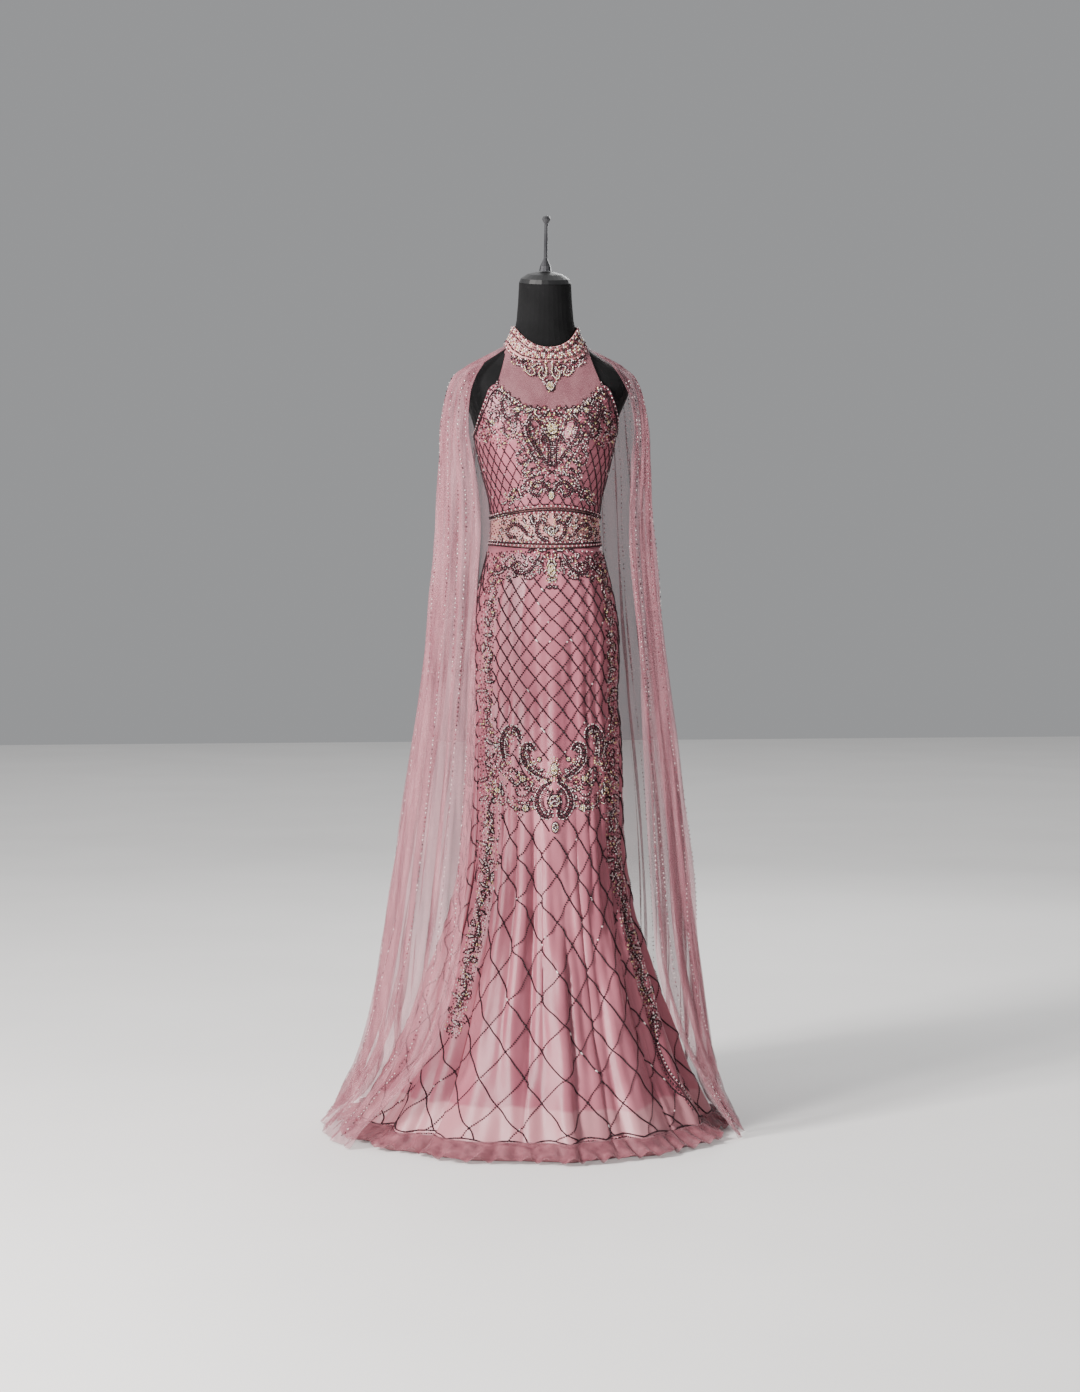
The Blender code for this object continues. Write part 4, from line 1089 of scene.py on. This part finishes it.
# Thick beaded scrolls, as their solids. Columns: name, patch, width, points (x, z) from the curl
SCROLLS = [
    ("collar_scroll", "yoke_front", 0.0042,
     [(0.014, 1.468), (0.020, 1.460), (0.017, 1.449), (0.009, 1.452), (0.005, 1.463), (0.007, 1.476)]),
    ("collar_side_scroll", "yoke_front", 0.0040,
     [(0.032, 1.470), (0.028, 1.460), (0.035, 1.455), (0.044, 1.462), (0.047, 1.473)]),
    ("sweetheart_scroll", "bodice_front", 0.0046,
     [(0.072, 1.385), (0.066, 1.374), (0.074, 1.366), (0.086, 1.372), (0.092, 1.388), (0.094, 1.404)]),
    ("bust_scroll", "bodice_front", 0.0056,
     [(0.024, 1.358), (0.028, 1.367), (0.040, 1.370), (0.049, 1.358), (0.047, 1.340), (0.036, 1.321),
      (0.021, 1.302), (0.010, 1.284)]),
    ("bust_inner_scroll", "bodice_front", 0.0046,
     [(0.021, 1.328), (0.018, 1.336), (0.010, 1.333), (0.006, 1.317), (0.006, 1.299), (0.0065, 1.282)]),
    ("midriff_scroll", "bodice_front", 0.0052,
     [(0.022, 1.225), (0.034, 1.228), (0.038, 1.240), (0.027, 1.251), (0.013, 1.247), (0.006, 1.236)]),
    ("waist_heart_scroll", "waistband_front", 0.0050,
     [(0.011, 1.172), (0.018, 1.178), (0.026, 1.171), (0.026, 1.155), (0.016, 1.142), (0.0065, 1.139)]),
    ("waist_side_scroll", "waistband_front", 0.0046,
     [(0.066, 1.146), (0.077, 1.148), (0.080, 1.160), (0.070, 1.171), (0.056, 1.166), (0.044, 1.150)]),
    ("hip_scroll", "skirt_front", 0.0048,
     [(0.062, 1.100), (0.072, 1.093), (0.066, 1.080), (0.050, 1.078), (0.037, 1.088), (0.028, 1.104)]),
    ("knee_heart_scroll", "skirt_front", 0.0056,
     [(0.007, 0.628), (0.009, 0.617), (0.021, 0.618), (0.031, 0.634), (0.032, 0.652), (0.022, 0.671),
      (0.008, 0.680)]),
    ("knee_inner_scroll", "skirt_front", 0.0058,
     [(0.036, 0.742), (0.044, 0.752), (0.056, 0.748), (0.058, 0.730), (0.050, 0.711), (0.034, 0.697),
      (0.020, 0.690)]),
    ("knee_outer_scroll", "skirt_front", 0.0056,
     [(0.063, 0.764), (0.067, 0.778), (0.080, 0.784), (0.092, 0.771), (0.096, 0.748), (0.092, 0.722)]),
]
# Faceted stones on the centre line. Columns: name, patch, height, half width, half height
STONES = [
    ("collar_stone", "yoke_front", 1.434, 0.0065, 0.0080),
    ("bust_stone", "bodice_front", 1.352, 0.0090, 0.0090),
    ("midriff_stone", "bodice_front", 1.226, 0.0045, 0.0070),
    ("waist_stone", "waistband_front", 1.158, 0.0055, 0.0080),
    ("hip_stone", "skirt_front", 1.084, 0.0060, 0.0120),
    ("knee_upper_stone", "skirt_front", 0.706, 0.0050, 0.0100),
    ("knee_stone", "skirt_front", 0.646, 0.0090, 0.0100),
    ("knee_drop_stone", "skirt_front", 0.596, 0.0050, 0.0085),
]


# Rows of a thick scroll: distance from its middle line, bead radius, colours, lift in radii
DARK_SCROLL = [
    (-0.0050, 0.0010, (SILVER, ROSE), 0.6),
    (-0.0024, 0.0018, (DARK,), 0.8),
    (0.0000, 0.0012, (ROSE, DARK), 1.6),
    (0.0024, 0.0018, (DARK,), 0.8),
    (0.0050, 0.0010, (SILVER, ROSE), 0.6),
]
PALE_SCROLL = [
    (-0.0055, 0.0014, (SILVER, SILVER, ROSE), 0.7),
    (-0.0027, 0.0018, (DARK,), 0.8),
    (0.0000, 0.0013, (DARK, DARK, ROSE), 1.4),
    (0.0027, 0.0018, (DARK,), 0.8),
    (0.0055, 0.0014, (SILVER, SILVER, ROSE), 0.7),
]
SLIM_SCROLL = [
    (-0.0021, 0.0012, (DARK, ROSE), 0.7),
    (0.0000, 0.0014, (SILVER, GOLD), 1.4),
    (0.0021, 0.0012, (DARK, ROSE), 0.7),
]
# Close crust of beads inside the knee motif and round the two largest stones
CRUSTS = {
    "skirt_front": [(0.030, [(0.000, 0.638), (0.000, 0.656)]), (0.012, [(0.000, 0.690), (0.010, 0.684)])],
    "bodice_front": [(0.020, [(0.000, 1.352), (0.000, 1.338)]), (0.010, [(0.000, 1.330), (0.000, 1.284)])],
}


def crust(beads, patch, regions):
    spots = scatter(regions, 0.0025)
    spots = np.concatenate([spots, spots * (-1, 1)])
    points, normals = patch.front(spots[:, 0], spots[:, 1])
    size = 0.0019 * rng.uniform(0.8, 1.2, (len(points), 1)) * np.ones(3)
    colours = rng.choice([SILVER, ROSE, DARK, GOLD], len(points), p=(0.17, 0.08, 0.68, 0.07))
    beads.lay("seed", points, normals, rng.normal(size=points.shape), size, colours)


# Knee scrolls whose hollow side carries a fan of dark tubes, with the side
FANS = {"knee_heart_scroll": 1, "knee_inner_scroll": -1, "knee_outer_scroll": -1}
# Small stones round the knee motif and on the bust. Columns: patch, x, z, radius
ROSETTES = [
    ("skirt_front", 0.059, 0.688, 0.0070),
    ("skirt_front", 0.055, 0.632, 0.0070),
    ("skirt_front", 0.104, 0.664, 0.0055),
    ("skirt_front", 0.028, 0.724, 0.0045),
    ("bodice_front", 0.067, 1.388, 0.0058),
    ("bodice_front", 0.111, 1.366, 0.0050),
    ("bodice_front", 0.046, 1.386, 0.0045),
]
RAYED_STONES = ("hip_stone", "bust_stone", "knee_upper_stone")
DARK_STONES = ("knee_stone", "knee_drop_stone", "waist_stone")


def scroll_beads(patches):
    """Each thick scroll as rows of beads that narrow towards its ends."""
    for name, under, width, points in SCROLLS:
        rows = PALE_SCROLL if "knee" in name else SLIM_SCROLL if "collar" in name else DARK_SCROLL
        for word, side in (("_left", 1), ("_right", -1)):
            beads = Beads()
            middle = curve([(side * x, z) for x, z in points], 60)
            taper = (0.5 + 0.5 * np.sin(math.pi * np.linspace(0, 1, 60)) ** 0.5)[:, None]
            for offset, size, colours, lift in rows:
                line = middle + taper * (beside(middle, offset) - middle)
                trace(beads, patches[under], line, "round", (size, size, size * 0.9), 1.9 * size, colours, lift)
            if name in FANS:
                spots = beside(middle, FANS[name] * side * 0.0092)[6:-4:2]
                across = spots - middle[6:-4:2]
                places, normals = patches[under].front(spots[:, 0], spots[:, 1])
                tangents = np.stack([across[:, 0], 0 * across[:, 0], across[:, 1]], axis=1)
                beads.lay("bugle", places, normals, tangents, (0.0030, 0.0010, 0.0010), DARK)
            obj = beads.build("gown_" + name + word, BEAD_SET)
            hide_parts(name + word)


def stone_rings(patches):
    """Each stone: a domed cluster of champagne beads in a ring of silver and one of dark beads."""
    for name, under, z, half_width, half_height in STONES:
        patch = patches[under]
        beads = Beads()
        turn = np.linspace(0, 2 * math.pi, 49)
        heart = (DARK, DARK, SILVER) if name in DARK_STONES else (GOLD, SILVER, GOLD, DARK)
        for scale, size, colours, lift in (
            (1.25, 0.0015, (DARK,), 0.6),
            (0.95, 0.0015, (SILVER, SILVER, GOLD), 0.9),
            (0.62, 0.0015, heart, 1.2),
            (0.34, 0.0014, heart, 1.5),
        ):
            line = np.stack([scale * half_width * np.sin(turn), z + scale * half_height * np.cos(turn)], axis=1)
            trace(beads, patch, line, "round", (size, size, size), 1.9 * size, colours, lift)
        points, normals = patch.front([0.0], [z])
        size = (0.20 * half_height, 0.20 * half_width, 0.0018)
        middle = SILVER if name in DARK_STONES else GOLD
        beads.lay("round", points, normals, [(0, 0, 1)], size, middle, 1.6)
        if name in RAYED_STONES:
            for way in np.linspace(0, 2 * math.pi, 13)[:-1]:
                far = np.linspace(1.45, 2.3 if abs(math.cos(way)) > 0.8 else 1.9, 8)
                line = np.stack([far * half_width * math.sin(way), z + far * half_height * math.cos(way)], axis=1)
                trace(beads, patch, line, "round", (0.0013, 0.0013, 0.0012), 0.0026, (GOLD, SILVER), 0.8)
        obj = beads.build("gown_" + name, BEAD_SET)
        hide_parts(name)


UPPER_DIAMONDS = ([0.60, 0.72, 0.85, 1.00, 1.12], [0.050, 0.042, 0.040, 0.036, 0.034])
LOWER_DIAMONDS = ([0.00, 0.10, 0.36, 0.53, 0.66], [0.086, 0.090, 0.096, 0.076, 0.066])
BODICE_DIAMONDS = ([1.19, 1.30, 1.44], [0.030, 0.032, 0.033])
UPPER_FOOT = 0.665
# Beaded edge that runs down to the hem on the wearer's left. Points (x, z) of the front
OVERLAY_EDGE = [(0.186, 0.235), (0.190, 0.200), (0.196, 0.165), (0.214, 0.125), (0.240, 0.092), (0.262, 0.060)]
HEM_LINE = 0.030
LINE_BUGLE = (0.0030, 0.0016, 0.0013, 0.0063)
LINE_SEED = (0.0021, 0.0021, 0.0016, 0.0046)
SMALL_BUGLE = (0.0022, 0.0013, 0.0010, 0.0047)
SMALL_SEED = (0.0017, 0.0017, 0.0013, 0.0037)


def hem_line(points):
    """Height of the overlay's uneven scalloped edge."""
    angle = np.arctan2(points[..., 0], -points[..., 1])
    return HEM_LINE + 0.006 * np.abs(np.sin(13 * angle + 0.6 * np.sin(3 * angle))) + 0.003 * np.sin(5 * angle)


def lay_beads(grids, skirt_points):
    patches = {name: Patch(grid) for name, grid in grids.items()}
    front, back = halves(skirt_points.shape[1])
    patches["skirt_front"] = Patch(skirt_points[:, front])
    patches["skirt_back"] = Patch(skirt_points[:, back])
    whole = Patch(skirt_points, ring=True)

    beads = Beads()
    lattice(
        beads, whole, 34, (-0.25, 0.75), UPPER_DIAMONDS, 0.7145,
        lambda p: ~in_regions(p, SKIRT_REGIONS, 0.001) & (p[:, 2] > UPPER_FOOT),
        LINE_BUGLE, LINE_SEED, (0.63, 1.120),
    )
    beads.build("gown_skirt_upper_lattice", BEAD_SET)
    beads = Beads()
    lattice(
        beads, whole, 26, (-0.25, 0.75), LOWER_DIAMONDS, 0.5025,
        lambda p: ~in_regions(p, SKIRT_REGIONS, 0.001) & (p[:, 2] < UPPER_FOOT - 0.01) & (p[:, 2] > hem_line(p)),
        LINE_BUGLE, LINE_SEED, (0.004, 0.67),
    )
    column = np.linspace(0, skirt_points.shape[1] - 1, 9000)
    line, _ = whole.at(column, whole.row_at(column, np.full(len(column), HEM_LINE)))
    row = whole.row_at(column, hem_line(line))
    lay_along(beads, whole, column, row, "bugle", LINE_BUGLE, (DARK,))
    lay_along(beads, whole, column, row - 0.45, "seed", LINE_SEED, (ROSE, DARK))
    for offset, colours in ((0.0, (DARK,)), (0.0048, (SILVER, DARK)), (-0.0046, (DARK, ROSE))):
        line = beside(curve(OVERLAY_EDGE, 60), offset)
        trace(beads, patches["skirt_front"], line, "round", (0.0018, 0.0018, 0.0016), 0.0038, colours)
    beads.build("gown_skirt_lower_lattice", BEAD_SET)

    beads = Beads()
    for name, turns in (("bodice_front", (-0.25, 0.25)), ("bodice_back", (0.25, 0.75))):
        patch = patches[name]
        edge = patch.grid[-1]

        def keep(points, edge=edge, name=name):
            sign = 1 if name == "bodice_front" else -1
            limit = np.interp(sign * points[:, 0], sign * edge[:, 0], edge[:, 2])
            inside = points[:, 2] < limit - 0.002
            return inside & ~in_regions(points, BODICE_REGIONS, 0.0)

        lattice(
            beads, patch, 18, turns, BODICE_DIAMONDS, 1.262, keep,
            SMALL_BUGLE, SMALL_SEED, (1.192, 1.436),
        )
    beads.build("gown_bodice_lattice", BEAD_SET)

    beads = Beads()
    for points in SKIRT_VINES:
        vine(beads, patches["skirt_front"], points)
    for under, x, z, radius in ROSETTES:
        if under == "skirt_front":
            rosette(beads, patches[under], (x, z), radius)
    crust(beads, patches["skirt_front"], CRUSTS["skirt_front"])
    fill(beads, patches["skirt_front"], SKIRT_REGIONS[:3] + SKIRT_REGIONS[8:], 0.0118, 0.0064)
    fill(beads, patches["skirt_front"], SKIRT_REGIONS[3:6], 0.0165, 0.0088)
    beads.build("gown_skirt_beadwork", BEAD_SET)
    beads = Beads()
    for points in BODICE_VINES:
        vine(beads, patches["bodice_front"], points)
    for points in YOKE_VINES:
        vine(beads, patches["yoke_front"], points, ROSE)
    for under, x, z, radius in ROSETTES:
        if under == "bodice_front":
            rosette(beads, patches[under], (x, z), radius)
    crust(beads, patches["bodice_front"], CRUSTS["bodice_front"])
    fill(beads, patches["bodice_front"], BODICE_REGIONS, 0.0105, 0.0058)
    fill(beads, patches["yoke_front"], YOKE_REGIONS, 0.0092, 0.0046)
    for k, angle in enumerate(np.linspace(0.05, SWEETHEART_END - 0.03, 10)):
        rise = (0.0050, 0.0075, 0.0040, 0.0065)[k % 4]
        spot = lifted(angle, front_top_z(angle) + rise, 0)[[0, 2]]
        small_motif(beads, patches["yoke_front"], spot, 0.0058, (1, 0, 2, 0)[k % 4], 1.7 * k)
        spot = spot - (0, 2.2 * rise)
        small_motif(beads, patches["bodice_front"], spot, 0.0062, (0, 2, 1, 0)[k % 4], 2.3 * k)
    for node in ("bodice_front", "bodice_back"):
        edge_rows(beads, patches[node], (0.985, 0.955), ((ROSE, SILVER, DARK), (DARK,)))
    beads.build("gown_bodice_beadwork", BEAD_SET)

    beads = Beads()
    for node in ("waistband_front", "waistband_back"):
        shares = (0.03, 0.075, 0.12, 0.165, 0.835, 0.88, 0.925, 0.97)
        edge_rows(beads, patches[node], shares, (DARK, PALE, DARK, PALE, PALE, DARK, DARK, PALE))
    for points in BAND_VINES:
        vine(beads, patches["waistband_front"], points)
    fill(beads, patches["waistband_front"], [(0.056, [(0.000, 1.164), (0.090, 1.162)])], 0.0170, 0.0056)
    for spot in ((0.036, 1.177), (0.010, 1.160), (0.050, 1.178)):
        small_motif(beads, patches["waistband_front"], spot, 0.0062, 2, 1.2)
    collar = patches["collar"]
    rows, columns = collar.grid.shape[:2]
    column = np.linspace(0, columns - 1, 900)
    for share, colours in COLLAR_ROWS:
        row = (share + 0.012 * np.sin(0.9 * column)) * (rows - 1)
        lay_along(beads, collar, column, row, "round", COLLAR_BEAD, colours)
    for height in (0.30, 0.72):
        point, normal = collar.at(np.zeros(1), np.full(1, height * (rows - 1)))
        beads.lay("round", point, normal, [(0, 0, 1)], (0.0055, 0.0055, 0.0030), ROSE, 0.9)
    beads.build("gown_band_beadwork", BEAD_SET)
    scroll_beads(patches)
    stone_rings(patches)


def lay_along(beads, patch, column, row, kind, bead, colours):
    """Beads at their pitch along a line of columns and rows of a patch."""
    line, _ = patch.at(column, row)
    length = np.concatenate([[0], np.cumsum(np.linalg.norm(np.diff(line, axis=0), axis=1))])
    at = np.arange(0.5 * bead[3], length[-1], bead[3])
    points, normals = patch.at(np.interp(at, length, column), np.interp(at, length, row))
    tangents = np.gradient(points, axis=0)
    chosen = np.array(colours)[np.arange(len(points)) % len(colours)]
    beads.lay(kind, points, normals, tangents, bead[:3], chosen)


COLLAR_ROWS = [
    (0.06, (SILVER, ROSE, DARK)),
    (0.19, (DARK, DARK, ROSE)),
    (0.31, (SILVER, ROSE, GOLD, SILVER, DARK)),
    (0.43, (GOLD, SILVER, ROSE)),
    (0.55, (SILVER, DARK, ROSE, SILVER)),
    (0.67, (DARK, ROSE, DARK)),
    (0.80, (SILVER, GOLD, ROSE, DARK)),
    (0.93, (DARK, SILVER, ROSE)),
]
PALE = (SILVER, ROSE, ROSE)
COLLAR_BEAD = (0.0021, 0.0021, 0.0017, 0.0043)


def edge_rows(beads, patch, shares, colours):
    """Rows of beads along a patch, at shares of its height."""
    rows, columns = patch.grid.shape[:2]
    column = np.linspace(0, columns - 1, 4 * columns)
    for share, colour in zip(shares, colours):
        row = np.full(len(column), share * (rows - 1))
        colour = colour if isinstance(colour, tuple) else (colour,)
        lay_along(beads, patch, column, row, "seed", (0.0022, 0.0022, 0.0017, 0.0029), colour)


def cape_beads(grid):
    """Lines of tiny bright beads down the cape's folds."""
    patch = Patch(grid)
    beads = Beads()
    rows, columns = grid.shape[:2]
    for share in np.linspace(0.012, 0.988, 38):
        jitter = rng.uniform(-0.004, 0.004)
        column = (share + jitter) * (columns - 1)
        row = np.linspace(rng.uniform(14, 40), rows - 3, 700)
        line, _ = patch.at(np.full(len(row), column), row)
        length = np.concatenate([[0], np.cumsum(np.linalg.norm(np.diff(line, axis=0), axis=1))])
        at = np.arange(0, length[-1], 0.0086)
        at = at[rng.random(len(at)) < 0.90]
        spots = np.interp(at, length, row)
        points, normals = patch.at(np.full(len(spots), column), spots)
        tangents = np.gradient(points, axis=0)
        colours = rng.choice([SILVER, ROSE, DARK], len(points), p=(0.5, 0.3, 0.2))
        beads.lay("seed", points, normals, tangents, (0.0020, 0.0015, 0.0012), colours)
    beads.build("gown_cape_bead_lines", BEAD_SET)


def dress_form():
    """The form's own nodes keep their shape and get their finish."""
    finishes = {
        "form_torso": FORM_CLOTH,
        "form_neck_cap": FORM_CAP,
        "form_finial": FORM_STEEL,
        "form_stand": FORM_STEEL,
    }
    for node, material in finishes.items():
        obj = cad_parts[node]
        for k in range(len(obj.material_slots)):
            obj.material_slots[k].material = material


# Floor, light and camera

CAMERA_DISTANCE = 5.6
CAMERA_HEIGHT = 1.10
CAMERA_AZIMUTH = math.radians(-7.5)
PHOTO_WIDTH, PHOTO_HEIGHT = 1080, 1392
FOCAL_PIXELS = 2884
HORIZON_ROW = 561.6
AXIS_COLUMN = 545


def area_light(name, place, target, size, energy, colour):
    data = bpy.data.lights.new(name, "AREA")
    data.shape = "RECTANGLE"
    data.size, data.size_y = size
    data.energy = energy
    data.color = colour
    light = bpy.data.objects.new(name, data)
    bpy.context.scene.collection.objects.link(light)
    light.location = place
    light.rotation_euler = (Vector(target) - Vector(place)).to_track_quat("-Z", "Y").to_euler()


def build_stage():
    material, tree, shader = nodes_of("floor_pale")
    tone = noise(tree, 1.5, 4.0)
    tree.links.new(ramp(tree, tone, [(0.3, (0.74, 0.73, 0.72)), (0.7, (0.78, 0.77, 0.76))]), shader.inputs["Base Color"])
    shader.inputs["Roughness"].default_value = 0.8
    mesh = bpy.data.meshes.new("floor")
    mesh.from_pydata([(-12, -12, 0), (12, -12, 0), (12, 12, 0), (-12, 12, 0)], [], [(0, 1, 2, 3)])
    mesh.materials.append(material)
    floor = bpy.data.objects.new("floor", mesh)
    bpy.context.scene.collection.objects.link(floor)
    floor.location.z = -0.0005
    world = bpy.data.worlds.new("studio")
    world.use_nodes = True
    world.node_tree.nodes["Background"].inputs["Color"].default_value = (0.83, 0.84, 0.86, 1)
    world.node_tree.nodes["Background"].inputs["Strength"].default_value = 0.40
    bpy.context.scene.world = world
    area_light("key", (-3.7, -2.8, 2.7), (0, 0, 0.85), (0.9, 1.4), 740, (1.0, 0.97, 0.95))
    area_light("fill", (3.4, -3.0, 1.8), (0, 0, 0.8), (2.2, 2.4), 16, (0.95, 0.97, 1.0))
    area_light("back", (1.4, 3.4, 2.8), (0, 0, 1.0), (1.6, 1.6), 60, (1.0, 1.0, 1.0))
    area_light("top", (0, 5.0, 6.0), (0, 5.0, 0), (14, 12), 430, (1.0, 1.0, 1.0))


def build_camera():
    """Level with the photograph's: turned down and a little aside instead of shifted."""
    data = bpy.data.cameras.new("camera")
    data.sensor_fit = "AUTO"
    data.sensor_width = 36
    data.lens = data.sensor_width * FOCAL_PIXELS / PHOTO_HEIGHT
    camera = bpy.data.objects.new("camera", data)
    bpy.context.scene.collection.objects.link(camera)
    reach = CAMERA_DISTANCE
    camera.location = (reach * math.sin(CAMERA_AZIMUTH), -reach * math.cos(CAMERA_AZIMUTH), CAMERA_HEIGHT)
    pitch = math.atan((PHOTO_HEIGHT / 2 - HORIZON_ROW) / FOCAL_PIXELS)
    aside = math.atan((AXIS_COLUMN - PHOTO_WIDTH / 2) / FOCAL_PIXELS)
    camera.rotation_euler = (math.pi / 2 - pitch, 0, CAMERA_AZIMUTH + aside)
    bpy.context.scene.camera = camera


def main():
    dress_form()
    skirt_points = build_skirt()
    build_flounce(skirt_points)
    grids = build_bodice()
    cape_points = build_cape()
    lay_beads(grids, skirt_points)
    cape_beads(cape_points)
    build_stage()
    build_camera()


main()
